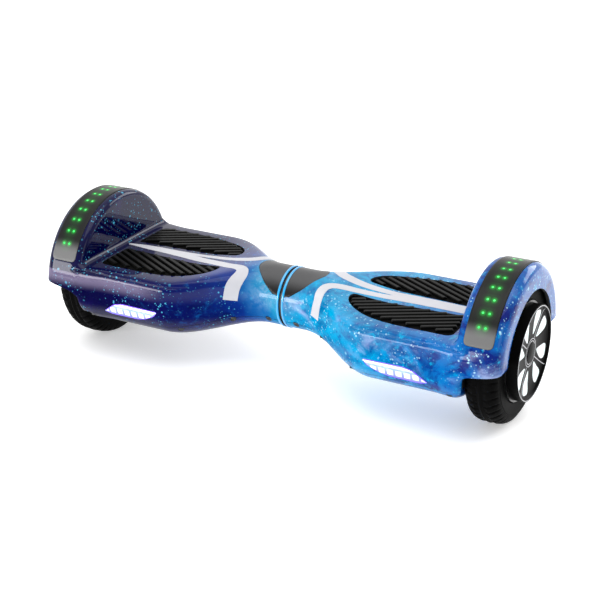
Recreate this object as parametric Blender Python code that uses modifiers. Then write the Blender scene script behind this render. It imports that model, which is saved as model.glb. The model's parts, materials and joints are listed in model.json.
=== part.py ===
"""Self balancing hoverboard, modelled as the real one is assembled.

Metres, +Z up, +X along the board towards the right half, lights towards -Y.
The origin lies on the ground under the middle of the board.
Everything is built for the right half first and mirrored to the left half.
"""
import math

import bmesh
import bpy
from mathutils import Matrix, Vector

MM = 0.001

# ---------------------------------------------------------------- driving dimensions
# wheels
WHEEL_RADIUS = 82.5 * MM
TYRE_WIDTH = 39.0 * MM
WHEEL_X = 259.3 * MM  # wheel mid-plane, from the middle of the board
RIM_RADIUS = 56.0 * MM
RIM_WALL = 4.0 * MM
MOTOR_PLATE = 3.0 * MM
MAGNET_DEPTH = 3.4 * MM
AXLE_RADIUS = 8.4 * MM
AXLE_STUB_RADIUS = 8.0 * MM
CABLE_BORE_RADIUS = 3.5 * MM
BEARING_OUTER_RADIUS = 17.5 * MM
BEARING_WIDTH = 9.6 * MM
STATOR_WIDTH = 22.0 * MM
STATOR_TEETH = 9
HUB_CAP_RADIUS = 53.4 * MM
HUB_CAP_PROUD = 12.0 * MM
WHEEL_STEPS = 28

# heights of the body, measured from the axle
AXLE_Z = WHEEL_RADIUS
TWIST_Z = AXLE_Z + 8.4 * MM
MIDDLE_Z = AXLE_Z + 10.5 * MM  # the widest level of the body
DECK_Z = AXLE_Z + 33.5 * MM
UNDERSIDE_Z = AXLE_Z - 46.5 * MM
SEAM_Z = AXLE_Z - 24.5 * MM
NECK_SEAM_Z = TWIST_Z - 19.0 * MM
SKIRT_Z = AXLE_Z + 3.5 * MM  # lower edge of the fender

# body shells
WALL = 2.5 * MM
NECK_RADIUS = 35.3 * MM
BODY_HALF_WIDTH = 92.0 * MM
NECK_END_X = 1.6 * MM
NECK_LENGTH = 22.0 * MM
SHOULDER_X = 132.0 * MM
FLARE_LENGTH = 34.0 * MM
DECK_POWER = 8.0
BELLY_POWER = 2.65
DECK_CUT = 0.6 * MM
BELLY_CUT = 1.5 * MM
RING_POINTS = 24
NECK_STATIONS = 7
FLARE_STATIONS = 3

# fender round the wheel
TYRE_CLEARANCE = 2.9 * MM
FENDER_GAP = 11.5 * MM
FENDER_WALL = 3.0 * MM
FENDER_RADIUS = WHEEL_RADIUS + FENDER_GAP + FENDER_WALL
FENDER_OPENING_RADIUS = 69.5 * MM
FENDER_LIP = 3.0 * MM
INNER_SHOULDER = 6.0 * MM
OUTER_SHOULDER = 10.0 * MM
FENDER_STEPS = 40
WELL_GAP = 4.5 * MM
STUB = 8.6 * MM  # the front wall reaches this far past the inner face of the fender

# fender light
LENS_WIDTH = 32.0 * MM
LENS_PROUD = 0.6 * MM
LENS_THICKNESS = 3.0 * MM
LENS_START = math.radians(22.0)
STRIP_WIDTH = 20.0 * MM
STRIP_THICKNESS = 1.4 * MM

# foot pads
PAD_TIP_X = 85.0 * MM
PAD_END_GAP = 12.4 * MM
PAD_INNER_Y = 13.0 * MM
PAD_TIP_Y = 20.0 * MM
PAD_EDGE_INSET = 23.0 * MM
PAD_SWEEP = 80.0 * MM
PAD_CORNER = 8.0 * MM
PAD_PROUD = 2.0 * MM
PAD_FLANGE = 2.0 * MM
PAD_TRAVEL = 1.5 * MM
RIB_PITCH = 8.6 * MM
RIB_GROOVE = 3.4 * MM
RIB_DEPTH = 1.6 * MM
RIB_ANGLE = math.radians(30.0)
POST_RADIUS = 3.0 * MM

# headlights
HEADLIGHT_X = 168.0 * MM
HEADLIGHT_LENGTH = 75.0 * MM
HEADLIGHT_TOP_Z = AXLE_Z - 3.0 * MM
HEADLIGHT_DROP = 18.0 * MM
HEADLIGHT_DEPTH = 4.0 * MM
BOARD_THICKNESS = 1.6 * MM

# status window over the waist
WINDOW_LENGTH = 42.0 * MM
WINDOW_HALF_WIDTH = 30.5 * MM

# frame castings
FRAME_PLATE = 3.5 * MM
FRAME_PLATE_Z = AXLE_Z + 6.5 * MM
FRAME_TO_SIDE = 24.0 * MM  # from the side wall's outside to the frame's edge
FRAME_TO_SHELL = 8.0 * MM
NECK_TUBE_RADIUS = 26.0 * MM
NECK_TUBE_START = 4.5 * MM
NECK_TUBE_END = 60.0 * MM
RAIL_HEIGHT = 30.0 * MM
RAIL_THICKNESS = 3.5 * MM
CLAMP_LENGTH = 36.0 * MM
CLAMP_HALF_WIDTH = 21.0 * MM
CLAMP_HEIGHT = 14.5 * MM
CLAMP_BOLT_Y = 15.0 * MM
CLAMP_BOLT_RADIUS = 2.8 * MM
CLAMP_HEAD_RADIUS = 4.8 * MM
CLAMP_HEAD_HEIGHT = 5.0 * MM

# twist joint
PIVOT_RADIUS = 16.0 * MM
PIVOT_BORE_RADIUS = 12.0 * MM
PIVOT_LEFT_END = 58.0 * MM
PIVOT_RIGHT_END = 68.0 * MM
BUSHING_WALL = 2.2 * MM
BUSHING_LENGTH = 18.0 * MM
BUSHING_FLANGE = 2.0 * MM
BUSHING_FLANGE_RADIUS = 22.0 * MM
CIRCLIP_THICKNESS = 1.5 * MM
CIRCLIP_DEPTH = 1.2 * MM
SEAL_HALF_WIDTH = 1.0 * MM
HARNESS_RADIUS = 5.0 * MM
HARNESS_HALF_LENGTH = 75.0 * MM

# electronics
BATTERY_LENGTH = 70.0 * MM
BATTERY_HEIGHT = 37.0 * MM
BATTERY_SIDE_ROOM = 28.0 * MM  # from the side wall's outside to the pack, past the rear fittings
CONTROLLER_LENGTH = 70.0 * MM
CONTROLLER_THICKNESS = 1.6 * MM
CONTROLLER_SIDE_ROOM = 46.0 * MM  # from the side wall's outside to the board, past the cover's corner
HEAT_SINK_THICKNESS = 7.0 * MM
GYRO_SIZE = Vector((96.0, 62.0, 1.6)) * MM
SWITCH_BLOCK = Vector((9.0, 9.0, 4.0)) * MM
STANDOFF_HEIGHT = 6.0 * MM
STANDOFF_RADIUS = 3.0 * MM
SPEAKER_RADIUS = 18.0 * MM
SPEAKER_X = 96.0 * MM

# power switch and charge port on the rear wall
REAR_FITTING_X = 150.0 * MM
REAR_FITTING_Z = AXLE_Z + 5.0 * MM
FITTING_FLANGE_RADIUS = 11.0 * MM
FITTING_BARREL_RADIUS = 9.0 * MM
FITTING_FLANGE = 1.6 * MM
BUTTON_RADIUS = 7.2 * MM
BUTTON_TRAVEL = 1.5 * MM
SOCKET_RADIUS = 6.6 * MM
SOCKET_DEPTH = 11.0 * MM
CAP_THICKNESS = 1.6 * MM
CAP_HINGE_RISE = 13.5 * MM

# clearances
GAP = 0.3 * MM
SEAM_GAP = 0.5 * MM
SLIDE_GAP = 0.5 * MM
FITTING_GAP = 0.5 * MM

# ---------------------------------------------------------------- places that follow
TYRE_IN_X = WHEEL_X - TYRE_WIDTH / 2
TYRE_OUT_X = WHEEL_X + TYRE_WIDTH / 2
WELL_FACE_X = TYRE_IN_X - TYRE_CLEARANCE
FENDER_IN_X = WELL_FACE_X - WALL
FENDER_OUT_X = TYRE_OUT_X + TYRE_CLEARANCE + 3.5 * MM
STUB_END_X = FENDER_IN_X + STUB
FLARE_X = FENDER_IN_X - FLARE_LENGTH
PAD_END_X = FENDER_IN_X - PAD_END_GAP
PAD_EDGE_Y = BODY_HALF_WIDTH - PAD_EDGE_INSET
CLAMP_END_X = FENDER_IN_X - 2.4 * MM
CLAMP_START_X = CLAMP_END_X - CLAMP_LENGTH
FRAME_TOP_Z = FRAME_PLATE_Z + FRAME_PLATE
BUSHING_RADIUS = PIVOT_RADIUS + GAP + BUSHING_WALL
BAY_X = CLAMP_START_X - 41.0 * MM  # middle of the bay between the clamp and the neck
GYRO_Z = FRAME_TOP_Z + STANDOFF_HEIGHT
SWITCH_TOP_Z = GYRO_Z + GYRO_SIZE.z + SWITCH_BLOCK.z
FRAME_HALF_WIDTH = BODY_HALF_WIDTH - FRAME_TO_SIDE
BATTERY_SIZE = Vector((BATTERY_LENGTH, 2 * (BODY_HALF_WIDTH - BATTERY_SIDE_ROOM), BATTERY_HEIGHT))
CONTROLLER_WIDTH = 2 * (BODY_HALF_WIDTH - CONTROLLER_SIDE_ROOM)
CONTROLLER_SIZE = Vector((CONTROLLER_LENGTH, CONTROLLER_WIDTH, CONTROLLER_THICKNESS))
STUD_X = GYRO_SIZE.x / 2 - 8.0 * MM
STUD_Y = GYRO_SIZE.y / 2 - 5.0 * MM
POST_Y = GYRO_SIZE.y / 2 - SWITCH_BLOCK.y / 2 - 1.5 * MM
POST_SPREAD = 30.0 * MM

MATERIALS = {  # base colour, metallic, roughness
    "shell_left": ((0.010, 0.012, 0.16), 0.0, 0.15),
    "shell_right": ((0.010, 0.25, 0.62), 0.0, 0.15),
    "pad_rubber": ((0.012, 0.012, 0.012), 0.0, 0.7),
    "tyre_rubber": ((0.015, 0.015, 0.015), 0.0, 0.6),
    "smoked_lens": ((0.05, 0.05, 0.055), 0.0, 0.1),
    "headlight": ((0.75, 0.85, 1.0), 0.0, 0.1),
    "black_plastic": ((0.02, 0.02, 0.02), 0.0, 0.3),
    "cast_aluminium": ((0.6, 0.6, 0.62), 1.0, 0.45),
    "steel": ((0.55, 0.55, 0.56), 1.0, 0.3),
    "bronze": ((0.5, 0.33, 0.12), 1.0, 0.4),
    "circuit_board": ((0.01, 0.12, 0.05), 0.0, 0.5),
    "battery_wrap": ((0.02, 0.10, 0.45), 0.0, 0.4),
    "copper": ((0.7, 0.3, 0.12), 1.0, 0.4),
    "magnet": ((0.3, 0.3, 0.32), 1.0, 0.35),
}


# ---------------------------------------------------------------- scene and helpers
def clear_scene():
    for obj in list(bpy.data.objects):
        bpy.data.objects.remove(obj, do_unlink=True)


def new_collection(name):
    collection = bpy.data.collections.new(name)
    bpy.context.scene.collection.children.link(collection)
    return collection


def make_material(name):
    """A Principled material of its own for one object."""
    color, metallic, roughness = MATERIALS[name]
    material = bpy.data.materials.new(name)
    material.use_nodes = True
    shader = material.node_tree.nodes["Principled BSDF"]
    shader.inputs["Base Color"].default_value = (*color, 1.0)
    shader.inputs["Metallic"].default_value = metallic
    shader.inputs["Roughness"].default_value = roughness
    material.diffuse_color = (*color, 1.0)
    return material


def add_object(name, mesh, look=None):
    """A part if it has a look, otherwise a cutter that is never rendered."""
    obj = bpy.data.objects.new(name, mesh)
    if look:
        PARTS.objects.link(obj)
        mesh.materials.append(make_material(look))
    else:
        CUTTERS.objects.link(obj)
        obj.hide_render = True
        obj.display_type = "WIRE"
    return obj


def from_bmesh(name, bm, look=None, smooth=False):
    bmesh.ops.recalc_face_normals(bm, faces=bm.faces)
    mesh = bpy.data.meshes.new(name)
    bm.to_mesh(mesh)
    bm.free()
    if smooth:
        mesh.shade_smooth()
        mesh.set_sharp_from_angle(angle=math.radians(35))
    return add_object(name, mesh, look)


def add_box(bm, low, high):
    size = Vector(high) - Vector(low)
    middle = (Vector(high) + Vector(low)) / 2
    place = Matrix.Translation(middle) @ Matrix.Diagonal((*size, 1.0))
    bmesh.ops.create_cube(bm, size=1.0, matrix=place)


def box(name, low, high, look=None):
    bm = bmesh.new()
    add_box(bm, low, high)
    return from_bmesh(name, bm, look)


def cylinder(name, start, end, radius, look=None, segments=24):
    start, end = Vector(start), Vector(end)
    turn = (end - start).to_track_quat("Z", "Y").to_matrix().to_4x4()
    bm = bmesh.new()
    bmesh.ops.create_cone(
        bm, cap_ends=True, segments=segments, radius1=radius, radius2=radius,
        depth=(end - start).length, matrix=Matrix.Translation((start + end) / 2) @ turn,
    )
    return from_bmesh(name, bm, look, smooth=True)


def prism(name, outline, axis, low, high, look=None):
    """A flat outline extruded along X, Y or Z, from low to high."""
    order = {"X": (2, 0, 1), "Y": (0, 2, 1), "Z": (0, 1, 2)}[axis]
    bm = bmesh.new()
    verts = []
    for u, v in outline:
        coords = (u, v, low)
        verts.append(bm.verts.new([coords[i] for i in order]))
    face = bm.faces.new(verts)
    extruded = bmesh.ops.extrude_face_region(bm, geom=[face])["geom"]
    top = [item for item in extruded if isinstance(item, bmesh.types.BMVert)]
    move = Vector([(0.0, 0.0, high - low)[i] for i in order])
    bmesh.ops.translate(bm, verts=top, vec=move)
    return from_bmesh(name, bm, look)


def turned(name, profile, origin, look=None, steps=32, direction="+X"):
    """A profile of (radius, height) points, turned round an axis through origin."""
    closed = profile[0][0] > 0
    area = sum(a[0] * b[1] - b[0] * a[1] for a, b in zip(profile, profile[1:] + profile[:1]))
    points = list(reversed(profile)) if area > 0 else list(profile)
    bm = bmesh.new()
    verts = [bm.verts.new((radius, 0.0, height)) for radius, height in points]
    for first, second in zip(verts, verts[1:] + (verts[:1] if closed else [])):
        bm.edges.new((first, second))
    mesh = bpy.data.meshes.new(name)
    bm.to_mesh(mesh)
    bm.free()
    obj = add_object(name, mesh, look)
    obj.location = origin
    angles = {"+X": (0, math.pi / 2, 0), "+Y": (-math.pi / 2, 0, 0), "+Z": (0, 0, 0)}
    obj.rotation_euler = angles[direction]
    screw = obj.modifiers.new("turn", "SCREW")
    screw.axis = "Z"
    screw.angle = math.tau
    screw.steps = steps
    screw.render_steps = steps
    screw.use_merge_vertices = True
    screw.merge_threshold = 0.01 * MM
    screw.use_smooth_shade = len(profile) > 6
    return obj


def carve(obj, cutter, operation="DIFFERENCE"):
    cut = obj.modifiers.new(cutter.name, "BOOLEAN")
    cut.operation = operation
    cut.solver = "EXACT"
    cut.object = cutter


def final_mesh(obj):
    """The evaluated mesh of an object, in world space."""
    bpy.context.view_layer.update()
    seen = obj.evaluated_get(bpy.context.evaluated_depsgraph_get())
    mesh = bpy.data.meshes.new_from_object(seen)
    mesh.transform(obj.matrix_world)
    return mesh


def mirrored(obj, look=None):
    """The left-hand twin of a right-hand object."""
    mesh = final_mesh(obj)
    place = Vector((-obj.location.x, obj.location.y, obj.location.z))
    mesh.transform(Matrix.Translation(-place) @ Matrix.Scale(-1, 4, (1, 0, 0)))
    mesh.flip_normals()
    mesh.materials.clear()
    twin = add_object(obj.name.replace("right_", "left_"), mesh, look)
    twin.location = place
    return twin


def mix(a, b, share):
    return a + (b - a) * share


def ease(value):
    value = min(max(value, 0.0), 1.0)
    return value * value * (3.0 - 2.0 * value)


def offset_outline(points, distance):
    """The outline moved outwards by a distance, for outlines that run anticlockwise."""
    moved = []
    for before, point, after in zip(points[-1:] + points[:-1], points, points[1:] + points[:1]):
        first = (Vector(point) - Vector(before)).normalized()
        second = (Vector(after) - Vector(point)).normalized()
        normal = Vector((first.y + second.y, -first.x - second.x))
        normal /= max(1.0 + first.dot(second), 0.5)
        moved.append((point[0] + normal.x * distance, point[1] + normal.y * distance))
    return moved


# ---------------------------------------------------------------- the body's shape
def shoulder(x):
    """0 at the waist, 1 where the body has its full width."""
    return ease((x - NECK_LENGTH) / (SHOULDER_X - NECK_LENGTH))


def half_width(x, inset=0.0):
    flare = ease((x - FLARE_X) / FLARE_LENGTH) * (FENDER_RADIUS - 1.0 * MM - BODY_HALF_WIDTH)
    return mix(NECK_RADIUS, BODY_HALF_WIDTH, shoulder(x)) + flare - inset


def middle_z(x):
    return mix(TWIST_Z, MIDDLE_Z, shoulder(x))


def rise_and_power(x, upper, inset=0.0):
    """Height of the section above or below its middle, its flat limit and its roundness."""
    share = shoulder(x)
    full = DECK_Z - MIDDLE_Z if upper else MIDDLE_Z - UNDERSIDE_Z
    cut = (DECK_CUT if upper else BELLY_CUT) * share
    height = mix(NECK_RADIUS, full, share) - inset
    power = mix(2.0, DECK_POWER if upper else BELLY_POWER, share)
    return height + cut, height, power


def section_point(x, angle, inset=0.0):
    upper = math.sin(angle) >= 0
    height, limit, power = rise_and_power(x, upper, inset)
    across = math.copysign(abs(math.cos(angle)) ** (2 / power), math.cos(angle))
    along = min(height * abs(math.sin(angle)) ** (2 / power), limit)
    return half_width(x, inset) * across, middle_z(x) + math.copysign(along, math.sin(angle))


def wall_y(x, z, inset=0.0):
    """How far the wall stands from the middle plane at a place."""
    height, _, power = rise_and_power(x, z >= middle_z(x), inset)
    share = min(abs(z - middle_z(x)) / height, 1.0)
    return half_width(x, inset) * (1.0 - share ** power) ** (1.0 / power)


def seam_z(x):
    return mix(NECK_SEAM_Z, SEAM_Z, shoulder(x))


def body_loft(name, start_x, end_x, inset=0.0, look=None):
    """The body between two stations: a solid whose sections change from round to flat-topped."""
    steps = NECK_STATIONS
    neck = [NECK_LENGTH + (SHOULDER_X - NECK_LENGTH) * k / steps for k in range(steps + 1)]
    flare = [FLARE_X + FLARE_LENGTH * k / FLARE_STATIONS for k in range(FLARE_STATIONS + 1)]
    between = [x for x in neck + flare if start_x + MM < x < end_x - MM]
    bm = bmesh.new()
    rings = []
    for x in [start_x, *between, end_x]:
        angles = [math.tau * k / RING_POINTS for k in range(RING_POINTS)]
        rings.append([bm.verts.new((x, *section_point(x, angle, inset))) for angle in angles])
    for near, far in zip(rings, rings[1:]):
        for k in range(RING_POINTS):
            following = (k + 1) % RING_POINTS
            bm.faces.new((near[k], near[following], far[following], far[k]))
    bm.faces.new(rings[0])
    bm.faces.new(rings[-1])
    return from_bmesh(name, bm, look, smooth=True)


def below_seam(name, lowered=0.0):
    """Everything under the seam between the two covers."""
    steps = 12
    end_x = FENDER_OUT_X + 20 * MM
    edge = [(0.0, seam_z(0.0) - lowered)]
    for k in range(steps + 1):
        x = mix(NECK_LENGTH, SHOULDER_X, k / steps)
        edge.append((x, seam_z(x) - lowered))
    edge.append((end_x, SEAM_Z - lowered))
    reach = BODY_HALF_WIDTH + FENDER_RADIUS
    outline = edge + [(end_x, -50 * MM), (-10 * MM, -50 * MM), (-10 * MM, edge[0][1])]
    return prism(name, outline, "Y", -reach, reach)


# ---------------------------------------------------------------- covers
def fender_blank():
    """The solid shape of the fender: a disc with rounded shoulders, cut level at the skirt."""
    inner, outer = FENDER_IN_X - WHEEL_X, FENDER_OUT_X - WHEEL_X
    profile = [(0.0, outer)]
    for k in range(4):
        turn = math.pi / 2 * k / 3
        radius = FENDER_RADIUS - OUTER_SHOULDER * (1 - math.sin(turn))
        profile.append((radius, outer - OUTER_SHOULDER * (1 - math.cos(turn))))
    for k in range(3):
        turn = math.pi / 2 * k / 2
        radius = FENDER_RADIUS - INNER_SHOULDER * (1 - math.cos(turn))
        profile.append((radius, inner + INNER_SHOULDER * (1 - math.sin(turn))))
    profile.append((0.0, inner))
    blank = turned("fender_blank", profile, (WHEEL_X, 0, AXLE_Z), steps=FENDER_STEPS)
    carve(blank, above("fender_half", SKIRT_Z), "INTERSECT")
    return blank


def above(name, level):
    reach = 2 * FENDER_RADIUS
    return box(name, (0, -reach, level), (2 * WHEEL_X, reach, level + 2 * reach))


def disc(name, radius, start_x, end_x, steps=FENDER_STEPS):
    return cylinder(name, (start_x, 0, AXLE_Z), (end_x, 0, AXLE_Z), radius, segments=steps)


def sector(name, start, start_x, end_x):
    """A fan over the wheel, from one angle above the horizontal to its mirror image."""
    reach = 3 * FENDER_RADIUS
    outline = [(0.0, AXLE_Z)]
    for k in range(5):
        angle = mix(start, math.pi - start, k / 4)
        outline.append((-reach * math.cos(angle), AXLE_Z + reach * math.sin(angle)))
    return prism(name, outline, "X", start_x, end_x)


def fender_band(name, inner_radius, outer_radius, width, start, look=None, steps=FENDER_STEPS):
    """A strip that follows the fender round the wheel."""
    half = width / 2
    profile = [(outer_radius, half), (outer_radius, -half), (inner_radius, -half), (inner_radius, half)]
    band = turned(name, profile, (WHEEL_X, 0, AXLE_Z), look, steps=steps)
    carve(band, sector(name + "_ends", start, WHEEL_X - width, WHEEL_X + width), "INTERSECT")
    return band


def pad_outline(side, grow=0.0):
    """Outline of a foot pad in plan; side is 1 for the rear pad and -1 for the front one."""
    points = [(PAD_TIP_X + 3 * MM, PAD_TIP_Y), (PAD_END_X, PAD_INNER_Y)]
    for k in range(4):
        turn = math.pi / 2 * k / 3
        x = PAD_END_X - PAD_CORNER * (1 - math.cos(turn))
        points.append((x, PAD_EDGE_Y - PAD_CORNER * (1 - math.sin(turn))))
    low = PAD_TIP_Y + 6 * MM
    for k in range(9):
        turn = math.pi / 2 * k / 8
        x = PAD_TIP_X + PAD_SWEEP * (1 - math.sin(turn))
        points.append((x, low + (PAD_EDGE_Y - low) * math.cos(turn)))
    points = offset_outline(points, grow)
    return [(x, y * side) for x, y in (points if side > 0 else reversed(points))]


def bezier(points, steps):
    """Points along a cubic curve, without its last point."""
    a, b, c, d = (Vector(point) for point in points)
    curve = []
    for k in range(steps):
        t = k / steps
        u = 1 - t
        curve.append(tuple(a * u ** 3 + b * 3 * t * u ** 2 + c * 3 * t * t * u + d * t ** 3))
    return curve


def headlight_outline(grow=0.0):
    """A leaf whose inner tip is high and whose outer tip is low, seen from the front."""
    inner = (HEADLIGHT_X - HEADLIGHT_LENGTH / 2, HEADLIGHT_TOP_Z - 0.04 * HEADLIGHT_DROP)
    outer = (HEADLIGHT_X + HEADLIGHT_LENGTH / 2, HEADLIGHT_TOP_Z - 0.80 * HEADLIGHT_DROP)
    lower = HEADLIGHT_TOP_Z - 1.12 * HEADLIGHT_DROP
    upper = HEADLIGHT_TOP_Z + 0.10 * HEADLIGHT_DROP
    below = bezier([inner, (inner[0] + 6 * MM, lower), (outer[0] - 25 * MM, lower), outer], 8)
    over = bezier([outer, (outer[0] - 9 * MM, upper), (outer[0] - 35 * MM, upper), inner], 8)
    return offset_outline(below + over, grow)


def window_outline(grow=0.0):
    """Half of the eye shape over the waist, seen from above."""
    steps = 10
    points = []
    for k in range(steps + 1):
        angle = math.pi * (k / steps - 0.5)
        x = (WINDOW_LENGTH + grow) * math.cos(angle)
        points.append((x, (WINDOW_HALF_WIDTH + grow) * math.sin(angle)))
    points[0] = (0.0, points[0][1])
    points[-1] = (0.0, points[-1][1])
    return points


def headlight_prism(name, grow=0.0, back=0.0):
    reach = 2 * BODY_HALF_WIDTH
    return prism(name, headlight_outline(grow), "Y", -reach, -back)


def build_covers():
    cavity = body_loft("cavity", NECK_END_X - 5 * MM, FENDER_IN_X, WALL)
    face = WELL_FACE_X - WHEEL_X
    side_wall = FENDER_OUT_X - WALL - WHEEL_X
    outside = FENDER_OUT_X + 10 * MM - WHEEL_X
    well_radius = WHEEL_RADIUS + WELL_GAP
    profile = [
        (0, outside), (FENDER_OPENING_RADIUS, outside), (FENDER_OPENING_RADIUS, side_wall),
        (well_radius, side_wall), (well_radius, face), (0, face),
    ]
    well = turned("wheel_well", profile, (WHEEL_X, 0, AXLE_Z), steps=FENDER_STEPS - 3)
    step = 0.4 * MM
    arch = disc("fender_hollow", FENDER_RADIUS - FENDER_WALL, WELL_FACE_X + step, FENDER_OUT_X - WALL - step,
                FENDER_STEPS - 7)
    carve(arch, above("over_lip", SKIRT_Z + FENDER_LIP), "INTERSECT")

    top = body_loft("right_top_cover", NECK_END_X, STUB_END_X, look="shell_right")
    carve(top, fender_blank(), "UNION")
    for cutter in (cavity, well, arch, below_seam("seam_cut")):
        carve(top, cutter)

    slot_half = AXLE_RADIUS + 6 * MM
    slot = box("axle_slot", (FENDER_IN_X - 5 * MM, -slot_half, 0), (WELL_FACE_X + MM, slot_half, AXLE_Z))
    carve(slot, disc("slot_end", slot_half, FENDER_IN_X - 6 * MM, WELL_FACE_X + 2 * MM, 20), "UNION")
    carve(top, slot)
    start = LENS_START - GAP / FENDER_RADIUS
    inner_radius = FENDER_RADIUS - 2 * FENDER_WALL
    slot_width = LENS_WIDTH + 2 * GAP
    slot_radius = FENDER_RADIUS + 5 * MM
    carve(top, fender_band("lens_slot", inner_radius, slot_radius, slot_width, start, steps=FENDER_STEPS - 5))
    for side, place in ((-1, "front"), (1, "rear")):
        hole = prism(f"{place}_pad_hole", pad_outline(side, SLIDE_GAP), "Z", GYRO_Z, DECK_Z + 10 * MM)
        carve(top, hole)
    carve(top, headlight_prism("headlight_hole", GAP))
    above_neck = TWIST_Z + 2 * NECK_RADIUS
    window_hole = prism("window_hole", window_outline(GAP), "Z", TWIST_Z, above_neck)
    carve(top, window_hole)

    bottom = body_loft("right_bottom_cover", NECK_END_X, WELL_FACE_X, look="shell_right")
    carve(bottom, below_seam("under_seam", SEAM_GAP), "INTERSECT")
    carve(bottom, cavity)
    tab_half = slot_half - SEAM_GAP
    tab_low = (FENDER_IN_X + 0.5 * MM, -tab_half, UNDERSIDE_Z + 2 * WALL)
    tab_high = (WELL_FACE_X - 0.5 * MM, tab_half, AXLE_Z - AXLE_RADIUS - 1.5 * MM)
    carve(bottom, box("axle_tab", tab_low, tab_high), "UNION")

    window = body_loft("right_status_window", NECK_END_X, SHOULDER_X, look="smoked_lens")
    carve(window, cavity)
    carve(window, prism("window_shape", window_outline(), "Z", TWIST_Z, above_neck), "INTERSECT")

    lens = body_loft("right_headlight_lens", NECK_END_X, STUB_END_X, look="headlight")
    back = wall_y(HEADLIGHT_X, HEADLIGHT_TOP_Z - HEADLIGHT_DROP) - HEADLIGHT_DEPTH
    carve(lens, headlight_prism("headlight_shape", back=back), "INTERSECT")
    board_y = back - GAP
    board_bottom = HEADLIGHT_TOP_Z - 0.75 * HEADLIGHT_DROP
    board_top = HEADLIGHT_TOP_Z - 0.1 * HEADLIGHT_DROP
    board_low = (HEADLIGHT_X - 0.36 * HEADLIGHT_LENGTH, -board_y, board_bottom)
    board_high = (HEADLIGHT_X + 0.28 * HEADLIGHT_LENGTH, BOARD_THICKNESS - board_y, board_top)
    board = box("right_headlight_board", board_low, board_high, "circuit_board")

    outer = FENDER_RADIUS + LENS_PROUD
    lens_strip = fender_band(
        "right_fender_lens", outer - LENS_THICKNESS, outer, LENS_WIDTH, LENS_START, "smoked_lens")
    board_outer = outer - LENS_THICKNESS - 1.2 * MM
    light_strip = fender_band(
        "right_fender_light_board", board_outer - STRIP_THICKNESS, board_outer, STRIP_WIDTH,
        LENS_START + math.radians(3), "circuit_board")
    for part, look in (
        (top, "shell_left"), (bottom, "shell_left"), (window, "smoked_lens"), (lens, "headlight"),
        (board, "circuit_board"), (lens_strip, "smoked_lens"), (light_strip, "circuit_board"),
    ):
        mirrored(part, look)


# ---------------------------------------------------------------- foot pads
def foot_pad(side, place):
    """Ribbed rubber pad with a flange under the deck and two posts down to the switches."""
    under_deck = DECK_Z - WALL
    flange_top = under_deck - GAP
    flange_low = flange_top - 1.5 * MM
    top = DECK_Z + PAD_PROUD
    pad = prism(f"right_{place}_foot_pad", pad_outline(side), "Z", flange_low, top, "pad_rubber")
    pad.data.transform(Matrix.Translation((-BAY_X, 0, -DECK_Z)))
    pad.location = (BAY_X, 0, DECK_Z)
    flange = prism(f"{place}_flange", pad_outline(side, PAD_FLANGE), "Z", flange_low - 0.2 * MM, flange_top)
    carve(pad, flange, "UNION")
    grooves = bmesh.new()
    length = 2 * (PAD_END_X - PAD_TIP_X)
    centre = Vector(((PAD_TIP_X + PAD_END_X) / 2, side * (PAD_INNER_Y + PAD_EDGE_Y) / 2, 0))
    turn = Matrix.Translation(centre) @ Matrix.Rotation(-side * RIB_ANGLE, 4, "Z")
    count = int((PAD_END_X - PAD_TIP_X) / RIB_PITCH / 2) + 1
    for k in range(-count, count + 1):
        y = (k + 0.5) * RIB_PITCH
        low = (-length, y - RIB_GROOVE / 2, top - RIB_DEPTH)
        add_box(grooves, low, (length, y + RIB_GROOVE / 2, top + 5 * MM))
    bmesh.ops.transform(grooves, matrix=turn, verts=grooves.verts)
    carve(pad, from_bmesh(f"{place}_grooves", grooves))
    for k in (-1, 1):
        x = BAY_X + k * POST_SPREAD
        foot = SWITCH_TOP_Z + PAD_TRAVEL + SLIDE_GAP
        low, high = (x, side * POST_Y, foot), (x, side * POST_Y, top - 2 * RIB_DEPTH)
        post = cylinder(f"{place}_post_{k}", low, high, POST_RADIUS, segments=10)
        carve(pad, post, "UNION")
    mirrored(pad, "pad_rubber")


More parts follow.
